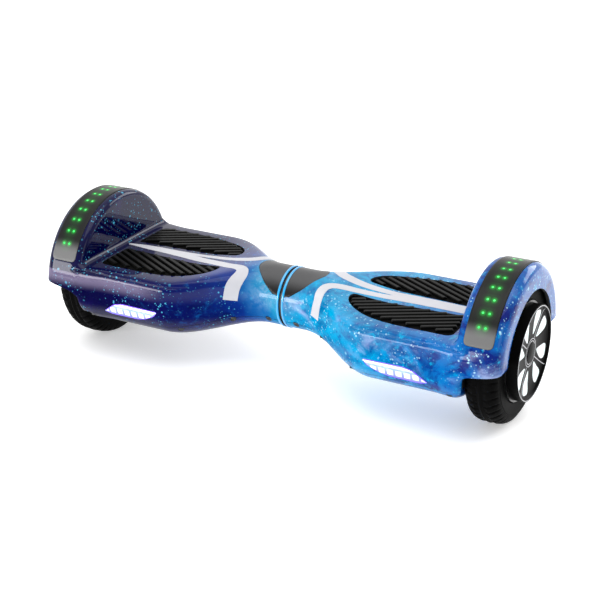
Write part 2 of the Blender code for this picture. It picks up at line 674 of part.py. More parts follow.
# ---------------------------------------------------------------- wheels
def build_wheel():
    centre = (WHEEL_X, 0, AXLE_Z)
    half = TYRE_WIDTH / 2
    bulge = 7.0 * MM
    tyre = [(RIM_RADIUS + GAP, half - 2 * MM), (RIM_RADIUS + 6 * MM, half)]
    for k in range(4):
        turn = math.pi / 2 * k / 3
        tyre.append((WHEEL_RADIUS - bulge * (1 - math.sin(turn)), half - 2 * bulge * (1 - math.cos(turn))))
    tyre += [(radius, -height) for radius, height in reversed(tyre)]
    turned("right_tyre", tyre, centre, "tyre_rubber", steps=WHEEL_STEPS)

    disc_out, disc_in = half, half - MOTOR_PLATE
    pocket = BEARING_OUTER_RADIUS + GAP
    boss = pocket + 4 * MM
    seat_out = disc_in + GAP
    seat_in = seat_out - BEARING_WIDTH - GAP
    open_end = -(half - 1 * MM)
    drum = [
        (0, disc_out), (RIM_RADIUS, disc_out), (RIM_RADIUS, open_end), (RIM_RADIUS - RIM_WALL, open_end),
        (RIM_RADIUS - RIM_WALL, disc_in), (boss, disc_in), (boss, seat_in), (pocket, seat_in),
        (pocket, seat_out), (0, seat_out),
    ]
    turned("right_rotor_drum", drum, centre, "cast_aluminium", steps=WHEEL_STEPS)

    cover_rim = RIM_RADIUS - RIM_WALL - GAP
    shaft_hole = AXLE_RADIUS + 2 * MM
    cover_in = open_end + MOTOR_PLATE
    cover = [
        (cover_rim, cover_in), (cover_rim, open_end), (shaft_hole, open_end), (shaft_hole, -seat_out),
        (pocket, -seat_out), (pocket, -seat_in), (boss, -seat_in), (boss, cover_in),
    ]
    turned("right_motor_cover", cover, centre, "cast_aluminium", steps=WHEEL_STEPS)

    bearing_low, bearing_high = seat_in + GAP, seat_in + BEARING_WIDTH
    bore = AXLE_RADIUS + GAP
    for name, sign in (("outer", 1), ("inner", -1)):
        ring = [
            (BEARING_OUTER_RADIUS, sign * bearing_high), (BEARING_OUTER_RADIUS, sign * bearing_low),
            (bore, sign * bearing_low), (bore, sign * bearing_high),
        ]
        turned(f"right_{name}_bearing", ring, centre, "steel", steps=16)

    magnet_outer = RIM_RADIUS - RIM_WALL - GAP
    magnet_inner = magnet_outer - MAGNET_DEPTH
    magnet_half = STATOR_WIDTH / 2 + 1 * MM
    ring = [
        (magnet_outer, magnet_half), (magnet_outer, -magnet_half),
        (magnet_inner, -magnet_half), (magnet_inner, magnet_half),
    ]
    turned("right_magnet_ring", ring, centre, "magnet", steps=WHEEL_STEPS)
    build_stator(magnet_inner - 0.8 * MM, boss + 2 * MM, seat_in)
    build_axle(centre, seat_out)

    lip = TYRE_OUT_X - WHEEL_X + GAP
    face = lip + HUB_CAP_PROUD
    cap = [
        (0, face - 2.0 * MM), (0.45 * HUB_CAP_RADIUS, face - 1.6 * MM),
        (0.92 * HUB_CAP_RADIUS, face - 0.6 * MM), (0.96 * HUB_CAP_RADIUS, face),
        (HUB_CAP_RADIUS, face - 1.0 * MM), (HUB_CAP_RADIUS + 1.6 * MM, lip),
        (HUB_CAP_RADIUS - 1.2 * MM, lip), (0.93 * HUB_CAP_RADIUS, face - 3.4 * MM),
        (0, face - 4.4 * MM),
    ]
    turned("right_hub_cap", cap, centre, "black_plastic", steps=24)
    looks = {
        "tyre": "tyre_rubber", "rotor_drum": "cast_aluminium", "motor_cover": "cast_aluminium",
        "outer_bearing": "steel", "inner_bearing": "steel", "magnet_ring": "magnet",
        "stator": "copper", "axle": "steel", "hub_cap": "black_plastic",
    }
    for name, look in looks.items():
        mirrored(bpy.data.objects["right_" + name], look)


def build_stator(outer_radius, hub_radius, clear_half):
    """Toothed core on a web that fits round the axle between the bearing bosses."""
    yoke = hub_radius + 5 * MM
    outline = []
    pitch = math.tau / STATOR_TEETH
    shape = [(-0.43, outer_radius), (0.43, outer_radius), (0.43, outer_radius - 3 * MM),
             (0.16, outer_radius - 4 * MM), (0.16, yoke), (0.5, yoke)]
    for tooth in range(STATOR_TEETH):
        for share, radius in shape:
            angle = (tooth + share) * pitch
            outline.append((radius * math.cos(angle), AXLE_Z + radius * math.sin(angle)))
    half = STATOR_WIDTH / 2
    stator = prism("right_stator", outline, "X", WHEEL_X - half, WHEEL_X + half, "copper")
    carve(stator, cylinder("stator_bore", (WHEEL_X - 2 * half, 0, AXLE_Z), (WHEEL_X + 2 * half, 0, AXLE_Z),
                           AXLE_RADIUS + GAP))
    web_half = clear_half - 1.5 * MM
    for name, sign in (("outer_recess", 1), ("inner_recess", -1)):
        start = (WHEEL_X + sign * web_half, 0, AXLE_Z)
        end = (WHEEL_X + sign * 2 * half, 0, AXLE_Z)
        carve(stator, cylinder(name, start, end, hub_radius))


def build_axle(centre, tip):
    """Hollow steel stub: the motor cable runs in through its bore."""
    inner_end = CLAMP_START_X - WHEEL_X + GAP
    step = TYRE_IN_X - WHEEL_X + 0.5 * MM
    tip -= GAP
    axle = [
        (0, tip), (AXLE_RADIUS - MM, tip), (AXLE_RADIUS, tip - MM), (AXLE_RADIUS, step),
        (AXLE_STUB_RADIUS, step), (AXLE_STUB_RADIUS, inner_end), (CABLE_BORE_RADIUS, inner_end),
        (CABLE_BORE_RADIUS, step), (0, step),
    ]
    turned("right_axle", axle, centre, "steel", steps=14)


# ---------------------------------------------------------------- frame and twist joint
def build_frame():
    """Casting with the neck tube, a plate with two rails, and the saddle of the axle clamp."""
    plate_start = NECK_TUBE_END - 15 * MM
    stations = [mix(plate_start, CLAMP_END_X, k / 8) for k in range(9)]
    edge = [(x, min(half_width(x, WALL + FRAME_TO_SHELL), FRAME_HALF_WIDTH)) for x in stations]
    outline = [(x, -y) for x, y in edge] + list(reversed(edge))
    frame = prism("right_frame", outline, "Z", FRAME_PLATE_Z, FRAME_TOP_Z, "cast_aluminium")
    tube = cylinder("neck_tube", (NECK_TUBE_START, 0, TWIST_Z), (NECK_TUBE_END, 0, TWIST_Z),
                    NECK_TUBE_RADIUS)
    carve(frame, tube, "UNION")
    half_bay = BATTERY_SIZE.x / 2
    for name, sign in (("front_rail", -1), ("rear_rail", 1)):
        near, far = sorted((sign * (FRAME_HALF_WIDTH - RAIL_THICKNESS), sign * (FRAME_HALF_WIDTH - 0.2 * MM)))
        low = (BAY_X - half_bay, near, FRAME_PLATE_Z - RAIL_HEIGHT)
        carve(frame, box(name, low, (CLAMP_END_X - MM, far, FRAME_PLATE_Z + MM)), "UNION")
    saddle_low = (CLAMP_START_X, -CLAMP_HALF_WIDTH, AXLE_Z + GAP)
    saddle_high = (CLAMP_END_X - 0.5 * MM, CLAMP_HALF_WIDTH, FRAME_TOP_Z + 2 * MM)
    carve(frame, box("saddle", saddle_low, saddle_high), "UNION")
    for k, (x, y) in enumerate(stud_places()):
        low, high = (x, y, FRAME_PLATE_Z + MM), (x, y, GYRO_Z - GAP)
        stud = cylinder(f"stud_{k}", low, high, STANDOFF_RADIUS, segments=10)
        carve(frame, stud, "UNION")
    carve(frame, disc("stub_bore", AXLE_STUB_RADIUS + GAP, CLAMP_START_X - 5 * MM, CLAMP_END_X + 5 * MM, 20))
    notch = PIVOT_RADIUS + 6 * MM
    notch_end = HARNESS_HALF_LENGTH + 5 * MM
    carve(frame, box("circlip_notch", (NECK_TUBE_END, -notch, 0), (notch_end, notch, DECK_Z + notch)))
    opening = Vector((0.36 * GYRO_SIZE.x, STUD_Y - 2 * STANDOFF_RADIUS, 0))
    carve(frame, box("plate_window", (BAY_X - opening.x, -opening.y, FRAME_PLATE_Z - MM),
                     (BAY_X + opening.x, opening.y, FRAME_TOP_Z + MM)))
    for sign in (-1, 1):
        carve(frame, clamp_bolt_shape(f"bolt_hole_{sign}", sign, GAP))
    left = mirrored(frame, "cast_aluminium")
    bore_start, bore_end = NECK_TUBE_START - 5 * MM, NECK_TUBE_END + 10 * MM
    carve(frame, along_twist("bushing_bore", bore_start, bore_end, BUSHING_RADIUS + GAP))
    carve(left, along_twist("shaft_bore", -bore_end, -bore_start, PIVOT_RADIUS + GAP))


def stud_places():
    return [(BAY_X + i * STUD_X, j * STUD_Y) for i in (-1, 1) for j in (-1, 1)]


def along_twist(name, start_x, end_x, radius, look=None, segments=24):
    return cylinder(name, (start_x, 0, TWIST_Z), (end_x, 0, TWIST_Z), radius, look, segments)


def clamp_bolt_shape(name, side, grow=0.0, look=None):
    """Bolt that comes up through the clamp into the saddle."""
    head_top = AXLE_Z - CLAMP_HEIGHT - GAP + grow
    origin = ((CLAMP_START_X + CLAMP_END_X) / 2, side * CLAMP_BOLT_Y, head_top)
    shank = CLAMP_HEIGHT + 9 * MM + 2 * grow
    shank_radius = CLAMP_BOLT_RADIUS + grow
    if grow:
        low = (origin[0], origin[1], head_top - MM)
        return cylinder(name, low, (origin[0], origin[1], head_top + shank), shank_radius, segments=16)
    profile = [
        (0, shank), (shank_radius, shank), (shank_radius, 0), (CLAMP_HEAD_RADIUS, 0),
        (CLAMP_HEAD_RADIUS, -CLAMP_HEAD_HEIGHT), (0, -CLAMP_HEAD_HEIGHT),
    ]
    return turned(name, profile, origin, look, steps=12, direction="+Z")


def build_clamp():
    low = (CLAMP_START_X, -CLAMP_HALF_WIDTH, AXLE_Z - CLAMP_HEIGHT)
    high = (CLAMP_END_X - 0.5 * MM, CLAMP_HALF_WIDTH, AXLE_Z - GAP)
    clamp = box("right_axle_clamp", low, high, "cast_aluminium")
    carve(clamp, bpy.data.objects["stub_bore"])
    for sign, place in ((-1, "front"), (1, "rear")):
        carve(clamp, bpy.data.objects[f"bolt_hole_{sign}"])
        bolt = clamp_bolt_shape(f"right_{place}_clamp_bolt", sign, look="steel")
        mirrored(bolt, "steel")
    mirrored(clamp, "cast_aluminium")


def twist_turned(name, profile, look, steps=20):
    return turned(name, profile, (0, 0, TWIST_Z), look, steps)


def build_twist_joint():
    """Tube fixed in the left frame, turning in two flanged bushings in the right frame."""
    clip_start = NECK_TUBE_END + BUSHING_FLANGE + 2 * GAP
    clip_end = clip_start + CIRCLIP_THICKNESS
    root = PIVOT_RADIUS - CIRCLIP_DEPTH
    shaft = [
        (PIVOT_RADIUS, -PIVOT_LEFT_END), (PIVOT_RADIUS, clip_start - GAP), (root, clip_start - GAP),
        (root, clip_end + GAP), (PIVOT_RADIUS, clip_end + GAP), (PIVOT_RADIUS, PIVOT_RIGHT_END),
        (PIVOT_BORE_RADIUS, PIVOT_RIGHT_END), (PIVOT_BORE_RADIUS, -PIVOT_LEFT_END),
    ]
    twist_turned("pivot_shaft", shaft, "steel")
    inner, outer = PIVOT_RADIUS + GAP, BUSHING_RADIUS
    faces = (
        ("waist_bushing", NECK_TUBE_START - GAP, 1), ("inner_bushing", NECK_TUBE_END + GAP, -1),
    )
    for name, face, sign in faces:
        flange = face - sign * BUSHING_FLANGE
        end = face + sign * BUSHING_LENGTH
        ring = [(BUSHING_FLANGE_RADIUS, flange), (BUSHING_FLANGE_RADIUS, face), (outer, face),
                (outer, end), (inner, end), (inner, flange)]
        twist_turned(name, ring, "bronze")
    clip_radius = PIVOT_RADIUS + 3 * MM
    clip = twist_turned("pivot_circlip", [
        (clip_radius, clip_start), (clip_radius, clip_end), (root + GAP, clip_end), (root + GAP, clip_start)],
        "steel")
    half = 4 * MM
    opening_low = (clip_start - MM, -half, TWIST_Z)
    opening_high = (clip_end + MM, half, TWIST_Z + 2 * clip_radius)
    carve(clip, box("circlip_gap", opening_low, opening_high))
    seal_outer = NECK_RADIUS - 1.2 * MM
    seal_inner = BUSHING_FLANGE_RADIUS + 2 * MM
    twist_turned("waist_seal", [
        (seal_outer, SEAL_HALF_WIDTH), (seal_outer, -SEAL_HALF_WIDTH),
        (seal_inner, -SEAL_HALF_WIDTH), (seal_inner, SEAL_HALF_WIDTH)], "black_plastic", steps=28)
    half_length = HARNESS_HALF_LENGTH
    along_twist("wiring_harness", -half_length, half_length, HARNESS_RADIUS, "black_plastic", segments=12)


# ---------------------------------------------------------------- electronics
def gyro_board():
    """Board on the frame's studs, with a switch block under each post of the pads."""
    low = (BAY_X - GYRO_SIZE.x / 2, -GYRO_SIZE.y / 2, GYRO_Z)
    high = (BAY_X + GYRO_SIZE.x / 2, GYRO_SIZE.y / 2, GYRO_Z + GYRO_SIZE.z)
    board = box("right_gyro_board", low, high, "circuit_board")
    half = SWITCH_BLOCK / 2
    for i in (-1, 1):
        for j in (-1, 1):
            x, y = BAY_X + i * POST_SPREAD, j * POST_Y
            block = box(f"switch_{i}_{j}", (x - half.x, y - half.y, GYRO_Z + 0.5 * MM),
                        (x + half.x, y + half.y, SWITCH_TOP_Z))
            carve(board, block, "UNION")
    half = 6 * MM
    sensor = box("sensor", (BAY_X - half, -half, GYRO_Z + 0.5 * MM), (BAY_X + half, half, SWITCH_TOP_Z - MM))
    carve(board, sensor, "UNION")
    mirrored(board, "circuit_board")


def battery():
    """Shrink-wrapped pack that hangs under the right frame plate."""
    top = FRAME_PLATE_Z - 1 * MM
    half = BATTERY_SIZE / 2
    pack = box("battery_pack", (BAY_X - half.x, -half.y, top - BATTERY_SIZE.z), (BAY_X + half.x, half.y, top),
               "battery_wrap")
    bevel = pack.modifiers.new("corners", "BEVEL")
    bevel.width = 5 * MM
    bevel.segments = 2


def controller():
    """Main board over its heat sink, low in the left half."""
    half = CONTROLLER_SIZE / 2
    sink_low = UNDERSIDE_Z + WALL + 3 * MM
    sink_high = sink_low + HEAT_SINK_THICKNESS
    half_y = 0.8 * half.y
    sink = box("heat_sink", (-BAY_X - half.x, -half_y, sink_low), (-BAY_X + half.x, half_y, sink_high),
               "cast_aluminium")
    for k in range(6):
        y = mix(-half_y, half_y, (k + 0.5) / 6)
        groove = box(f"sink_groove_{k}", (-BAY_X - half.x - MM, y - 2 * MM, sink_high - 4 * MM),
                     (-BAY_X + half.x + MM, y + 2 * MM, sink_high + MM))
        carve(sink, groove)
    board_z = sink_high + 2 * MM
    low = (-BAY_X - half.x, -half.y, board_z)
    high = (-BAY_X + half.x, half.y, board_z + CONTROLLER_SIZE.z)
    board = box("main_board", low, high, "circuit_board")
    for k in range(3):
        x = -BAY_X + (k - 1) * 0.28 * CONTROLLER_SIZE.x
        foot, top = (x, 0.3 * half.y, board_z + 0.5 * MM), (x, 0.3 * half.y, board_z + 20 * MM)
        can = cylinder(f"capacitor_{k}", foot, top, 6 * MM, segments=16)
        carve(board, can, "UNION")
    for k in range(3):
        y = -half.y * (0.25 + 0.25 * k)
        block = box(f"connector_{k}", (-BAY_X - 0.7 * half.x, y - 4 * MM, board_z + 0.5 * MM),
                    (-BAY_X + 0.7 * half.x, y + 4 * MM, board_z + 9 * MM))
        carve(board, block, "UNION")


def speaker():
    """Small loudspeaker that faces down, in the left half beside the neck."""
    low = section_point(SPEAKER_X - SPEAKER_RADIUS, -math.pi / 2, WALL)[1] + 2 * MM
    profile = [
        (0, 16 * MM), (0.5 * SPEAKER_RADIUS, 16 * MM), (0.5 * SPEAKER_RADIUS, 10 * MM),
        (0.9 * SPEAKER_RADIUS, 2.5 * MM), (SPEAKER_RADIUS, 2.5 * MM), (SPEAKER_RADIUS, 0),
        (0.85 * SPEAKER_RADIUS, 0), (0.35 * SPEAKER_RADIUS, 5 * MM), (0, 4 * MM),
    ]
    turned("speaker", profile, (-SPEAKER_X, 0, low), "black_plastic", steps=24, direction="+Z")


# ---------------------------------------------------------------- rear wall fittings
def fitting_face():
    """Where a flange stands clear of the curved rear wall."""
    return wall_y(REAR_FITTING_X, MIDDLE_Z) + FITTING_GAP


def fitting_hole(cover, sign):
    start = (sign * REAR_FITTING_X, 0.5 * BODY_HALF_WIDTH, REAR_FITTING_Z)
    end = (sign * REAR_FITTING_X, 1.5 * BODY_HALF_WIDTH, REAR_FITTING_Z)
    name = cover.name + "_fitting_hole"
    carve(cover, cylinder(name, start, end, FITTING_BARREL_RADIUS + FITTING_GAP))


def barrel(name, x, bore, depth, length, look):
    """Flanged barrel through the rear wall, open to the outside."""
    profile = [
        (0, -depth), (bore, -depth), (bore, FITTING_FLANGE),
        (FITTING_FLANGE_RADIUS, FITTING_FLANGE), (FITTING_FLANGE_RADIUS, 0),
        (FITTING_BARREL_RADIUS, 0), (FITTING_BARREL_RADIUS, -length), (0, -length),
    ]
    return turned(name, profile, (x, fitting_face(), REAR_FITTING_Z), look, steps=18, direction="+Y")


def power_switch():
    """Push switch on the right half: the button travels inwards."""
    bore = BUTTON_RADIUS + GAP
    depth = 8 * MM
    barrel("power_switch", REAR_FITTING_X, bore, depth, 18 * MM, "black_plastic")
    low = -depth + BUTTON_TRAVEL + GAP
    high = FITTING_FLANGE + 1.0 * MM
    edge = 0.8 * MM
    profile = [
        (0, high), (BUTTON_RADIUS - edge, high), (BUTTON_RADIUS, high - edge), (BUTTON_RADIUS, low), (0, low),
    ]
    place = (REAR_FITTING_X, fitting_face(), REAR_FITTING_Z)
    turned("power_button", profile, place, "steel", steps=24, direction="+Y")
    fitting_hole(bpy.data.objects["right_top_cover"], 1)


def charge_port():
    """Socket on the left half with a hinged rubber cap over it."""
    x = -REAR_FITTING_X
    face = fitting_face() + FITTING_FLANGE
    port = barrel("charge_port", x, SOCKET_RADIUS, SOCKET_DEPTH, 18 * MM, "black_plastic")
    for k in range(3):
        angle = math.tau * (k + 0.25) / 3
        px, pz = x + 3.2 * MM * math.cos(angle), REAR_FITTING_Z + 3.2 * MM * math.sin(angle)
        start = (px, face - FITTING_FLANGE - SOCKET_DEPTH - MM, pz)
        pin = cylinder(f"contact_{k}", start, (px, face - 7 * MM, pz), 0.9 * MM, segments=8)
        carve(port, pin, "UNION")
    hinge_y = face + GAP + CAP_THICKNESS / 2
    hinge_z = REAR_FITTING_Z + CAP_HINGE_RISE
    lug = 3.0 * MM
    pin_radius = 0.7 * MM
    cap_radius = FITTING_FLANGE_RADIUS - 2.4 * MM
    ear_low = REAR_FITTING_Z + cap_radius + GAP
    for k in (-1, 1):
        near, far = sorted((x + k * (lug + GAP), x + k * (lug + GAP + 2 * MM)))
        ear = box(f"ear_{k}", (near, face - FITTING_FLANGE + GAP, ear_low),
                  (far, hinge_y + 1.5 * MM, hinge_z + 1.8 * MM))
        carve(port, ear, "UNION")
    carve(port, cylinder("hinge_hole", (x - 20 * MM, hinge_y, hinge_z), (x + 20 * MM, hinge_y, hinge_z),
                         pin_radius + GAP, segments=12))

    cap_back = face + GAP
    cap_front = cap_back + CAP_THICKNESS
    cap = cylinder("charge_port_cap", (x, cap_back, REAR_FITTING_Z), (x, cap_front, REAR_FITTING_Z),
                   cap_radius, "black_plastic")
    step = 0.2 * MM
    strap = box("cap_strap", (x - lug, cap_back + step, REAR_FITTING_Z), (x + lug, cap_front - step, hinge_z))
    barrel_length = lug + GAP + 1.7 * MM
    carve(cap, strap, "UNION")
    near, far = (x - barrel_length, hinge_y, hinge_z), (x + barrel_length, hinge_y, hinge_z)
    carve(cap, cylinder("cap_pin", near, far, pin_radius, segments=12), "UNION")
    hinge = Vector((x, hinge_y, hinge_z))
    cap.data.transform(Matrix.Translation(-hinge))
    cap.location = hinge
    fitting_hole(bpy.data.objects["left_top_cover"], -1)


# ---------------------------------------------------------------- assembly
def group_under_empties():
    """Parent every part to an empty on the axis that its body turns about."""
    places = {
        "left_half": (0, 0, TWIST_Z), "right_half": (0, 0, TWIST_Z),
        "left_wheel": (-WHEEL_X, 0, AXLE_Z), "right_wheel": (WHEEL_X, 0, AXLE_Z),
    }
    spinning = (
        "tyre", "rotor_drum", "motor_cover", "outer_bearing", "inner_bearing", "magnet_ring", "hub_cap",
    )
    on_right = ("waist_bushing", "inner_bushing", "battery_pack", "power_switch", "power_button")
    empties = {}
    for name, place in places.items():
        empties[name] = bpy.data.objects.new(name, None)
        empties[name].location = place
        PARTS.objects.link(empties[name])
    bpy.context.view_layer.update()
    for obj in [item for item in PARTS.objects if item.type == "MESH"]:
        side = "right" if obj.name.startswith("right_") or obj.name in on_right else "left"
        kind = "wheel" if obj.name.split("_", 1)[-1] in spinning else "half"
        parent = empties[f"{side}_{kind}"]
        obj.parent = parent
        obj.matrix_parent_inverse = parent.matrix_world.inverted()
    empties["right_half"].parent = empties["left_half"]
    empties["right_half"].matrix_parent_inverse = empties["left_half"].matrix_world.inverted()


clear_scene()
PARTS = new_collection("self_balancing_hoverboard")
CUTTERS = new_collection("cutters")
build_covers()
for pad_side, pad_place in ((-1, "front"), (1, "rear")):
    foot_pad(pad_side, pad_place)
build_wheel()
build_frame()
build_clamp()
build_twist_joint()
gyro_board()
battery()
controller()
speaker()
power_switch()
charge_port()
group_under_empties()
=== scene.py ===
"""Looks of the self balancing hoverboard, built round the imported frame."""

import json
import math

import bmesh
import bpy
import numpy as np
from mathutils import Matrix, Vector


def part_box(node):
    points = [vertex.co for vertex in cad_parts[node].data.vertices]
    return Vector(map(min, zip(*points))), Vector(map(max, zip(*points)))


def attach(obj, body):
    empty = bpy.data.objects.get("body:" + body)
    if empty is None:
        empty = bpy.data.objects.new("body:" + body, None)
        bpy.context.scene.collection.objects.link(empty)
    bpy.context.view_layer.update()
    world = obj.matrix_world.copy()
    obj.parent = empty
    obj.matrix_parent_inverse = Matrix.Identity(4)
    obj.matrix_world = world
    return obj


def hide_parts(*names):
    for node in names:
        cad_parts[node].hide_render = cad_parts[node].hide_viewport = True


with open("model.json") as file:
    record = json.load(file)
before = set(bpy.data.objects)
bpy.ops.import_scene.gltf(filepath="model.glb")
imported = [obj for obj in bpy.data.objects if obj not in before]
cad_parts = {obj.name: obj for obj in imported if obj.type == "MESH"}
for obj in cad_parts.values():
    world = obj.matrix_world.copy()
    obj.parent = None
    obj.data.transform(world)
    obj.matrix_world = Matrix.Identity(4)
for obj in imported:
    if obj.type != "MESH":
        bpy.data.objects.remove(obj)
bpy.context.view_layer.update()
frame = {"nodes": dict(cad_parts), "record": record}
scene = bpy.context.scene
MM = 0.001

# ---------------------------------------------------------------- sizes, in millimetres
AXLE_Z = 82.5
WHEEL_X = 259.3
NECK_END, NECK_LENGTH, SHOULDER_LENGTH = 1.6, 22.0, 110.0
NECK_R = 35.3
HALF_WIDTH, FLARE, FLARE_X, FLARE_LENGTH = 92.0, 4.0, 200.4, 34.0
NECK_MIDDLE_Z, MIDDLE_Z = 90.9, 93.0
NECK_SEAM_Z, SEAM_Z, SEAM_GAP = 71.9, 58.0, 0.5
DECK_RISE, CROWN_RISE = 23.0, 23.6
BELLY_DROP, KEEL_DROP = 57.0, 58.5
NECK_POWER, DECK_POWER, BELLY_POWER = 2.0, 8.0, 2.65
WALL, WALL_LIMIT = 2.5, 96.6
BODY_END = 243.0
FENDER_IN, FENDER_OUT, FENDER_R = 234.4, 285.2, 97.0
WELL_FACE, WELL_R, WELL_END = 236.9, 87.0, 296.0
SIDE_WALL, OPENING_R = 281.8, 69.5
AXLE_SLOT_R, AXLE_SLOT_X = 14.4, (229.4, 237.9)
LENS_R, LENS_WIDTH, LENS_START = 97.7, 32.0, 22.0
LED_FIRST, LED_PAIRS, LED_X, LED_HALF, LED_R = 34.2, 13, 259.8, 3.6, 1.25
LED_PITCH = (180.0 - 2 * LED_FIRST) / (LED_PAIRS - 1)
PAD_TIP, PAD_END, PAD_OUTER, PAD_INNER = 85.0, 222.0, 69.0, 13.1
PAD_SWEEP, PAD_SWEEP_FROM, PAD_CORNER = 80.0, 26.0, 8.0
RIB_TURN, RIB_PITCH, RIB_WIDTH, RIB_SHORTEST = 30.0, 8.6, 5.4, 9.0
HUB_R, HUB_BACK = 53.4, 279.2
SPOKE_TURN, PETAL_TURN = 54.0, 20.0
SCREW_R, SCREW_HOLE_R, SCREW_SHARE = 3.1, 3.7, 0.83
SPEAKER_X, SPEAKER_R, SPEAKER_SLOT, SPEAKER_PITCH = 96.0, 16.0, 1.6, 3.6
FIT = 0.3
FINE_STEP = 1.25
COARSE_STEP = 3.0


def smooth(t):
    t = np.clip(t, 0.0, 1.0)
    return t * t * (3.0 - 2.0 * t)


def mix(a, b, t):
    return a + (b - a) * t


def smax(a, b, k):
    """The larger of two fields, with the edge between them rounded over k."""
    h = np.maximum(k - np.abs(a - b), 0.0) / k
    return np.maximum(a, b) + h * h * k * 0.25


def smin(a, b, k):
    return -smax(-a, -b, k)


# ---------------------------------------------------------------- the body as a field: negative inside
def shoulder(x):
    """0 at the waist, 1 where the body has its full width."""
    return smooth((np.abs(x) - NECK_LENGTH) / SHOULDER_LENGTH)


def middle(x):
    return mix(NECK_MIDDLE_Z, MIDDLE_Z, shoulder(x))


def half_width(x):
    return mix(NECK_R, HALF_WIDTH, shoulder(x)) + FLARE * smooth((np.abs(x) - FLARE_X) / FLARE_LENGTH)


def seam_z(x):
    return mix(NECK_SEAM_Z, SEAM_Z, shoulder(x))


def body_field(x, y, z, inset=0.0):
    """The body without its fenders, with every side moved in by the inset."""
    s = shoulder(x)
    mid = middle(x)
    width = half_width(x) - inset
    over = z > mid
    height = np.where(over, mix(NECK_R, CROWN_RISE, s), mix(NECK_R, KEEL_DROP, s)) - inset
    power = np.where(over, mix(NECK_POWER, DECK_POWER, s), mix(NECK_POWER, BELLY_POWER, s))
    across = np.abs(y) / width
    rise = np.abs(z - mid) / height
    total = np.maximum(across ** power + rise ** power, 1e-6)
    size = total ** (1.0 / power)
    slope = np.sqrt((across ** (power - 1) / width) ** 2 + (rise ** (power - 1) / height) ** 2)
    slope = slope * total ** (1.0 / power - 1.0)
    field = (size - 1.0) / np.maximum(slope, 1e-4)
    bulge = np.abs(y) - width + 4.2 * s * np.clip((z - mid) / 19.0, 0.0, 2.0) ** 2
    field = smax(field, bulge, 3.0 * s + 0.01)
    deck = z - (mid + mix(NECK_R, DECK_RISE, s) - inset)
    field = smax(field, deck, 4.0 * s + 0.01)
    belly = (mid - mix(NECK_R, BELLY_DROP, s) + inset) - z
    return smax(field, belly, 4.0 * s + 0.01)


def crease(x, y, z):
    """Depth of the two grooves along the upper edge of the front and rear walls."""
    reach = smooth((np.abs(x) - 88.0) / 26.0) * smooth((246.0 - np.abs(x)) / 8.0)
    spread = smooth((246.0 - np.abs(x)) / 60.0)
    upper = 0.6 * np.exp(-((z - 110.6 - 1.6 * spread) / 0.9) ** 2)
    lower = 1.2 * np.exp(-((z - 109.4 - 1.8 * (1.0 - spread)) / 1.3) ** 2)
    return (upper * 0.7 + lower) * reach * smooth((np.abs(y) - 66.0) / 8.0)


def fender_field(x, y, z):
    around = np.hypot(y, z - AXLE_Z) - FENDER_R
    field = smax(around, FENDER_IN - x, 9.0)
    field = smax(field, x - FENDER_OUT, 15.0)
    skirt = 85.6 + 4.4 * smooth((x - 250.0) / 34.0) - z
    return smax(field, skirt, 2.5)


def shell_field(x, y, z):
    body = smax(body_field(x, y, z), x - BODY_END, 9.0)
    near_deck = smooth((z - 106.0) / 6.0)
    near_skirt = smooth((92.0 - z) / 6.0)
    round_over = 1.5 + 6.5 * near_deck + 12.0 * near_skirt
    field = smin(body, fender_field(x, y, z), round_over)
    field = smax(field, np.abs(y) - WALL_LIMIT, 1.0)
    return field + crease(x, y, z)


def lower_field(x, y, z):
    return smax(body_field(x, y, z), x - WELL_FACE, 12.0)


def cavity_field(x, y, z):
    return smax(body_field(x, y, z, WALL), x - FENDER_IN, 3.0)


def gradient(field, p, e=0.05):
    out = np.empty_like(p)
    for axis in range(3):
        step = np.zeros(3)
        step[axis] = e
        out[:, axis] = (field(*(p + step).T) - field(*(p - step).T)) / (2 * e)
    return out


def settle(field, p, rounds=4):
    """Moves points onto the surface of the field."""
    for _ in range(rounds):
        g = gradient(field, p)
        value = np.clip(field(*p.T), -2.0, 2.0)
        p = p - g * (value / np.maximum((g * g).sum(1), 0.05))[:, None]
    return p


# ---------------------------------------------------------------- meshes
def take_mesh(name, points, faces):
    """Mesh from points in millimetres."""
    mesh = bpy.data.meshes.new(name)
    places = (np.asarray(points, float) * MM).tolist()
    mesh.from_pydata(places, [], [tuple(f) for f in faces])
    mesh.update()
    return mesh


def new_object(name, mesh, look=None, shade=True):
    obj = bpy.data.objects.new(name, mesh)
    scene.collection.objects.link(obj)
    if look is not None:
        mesh.materials.append(look)
    for polygon in mesh.polygons:
        polygon.use_smooth = shade
    if shade:
        mesh.set_sharp_from_angle(angle=math.radians(32))
    return obj


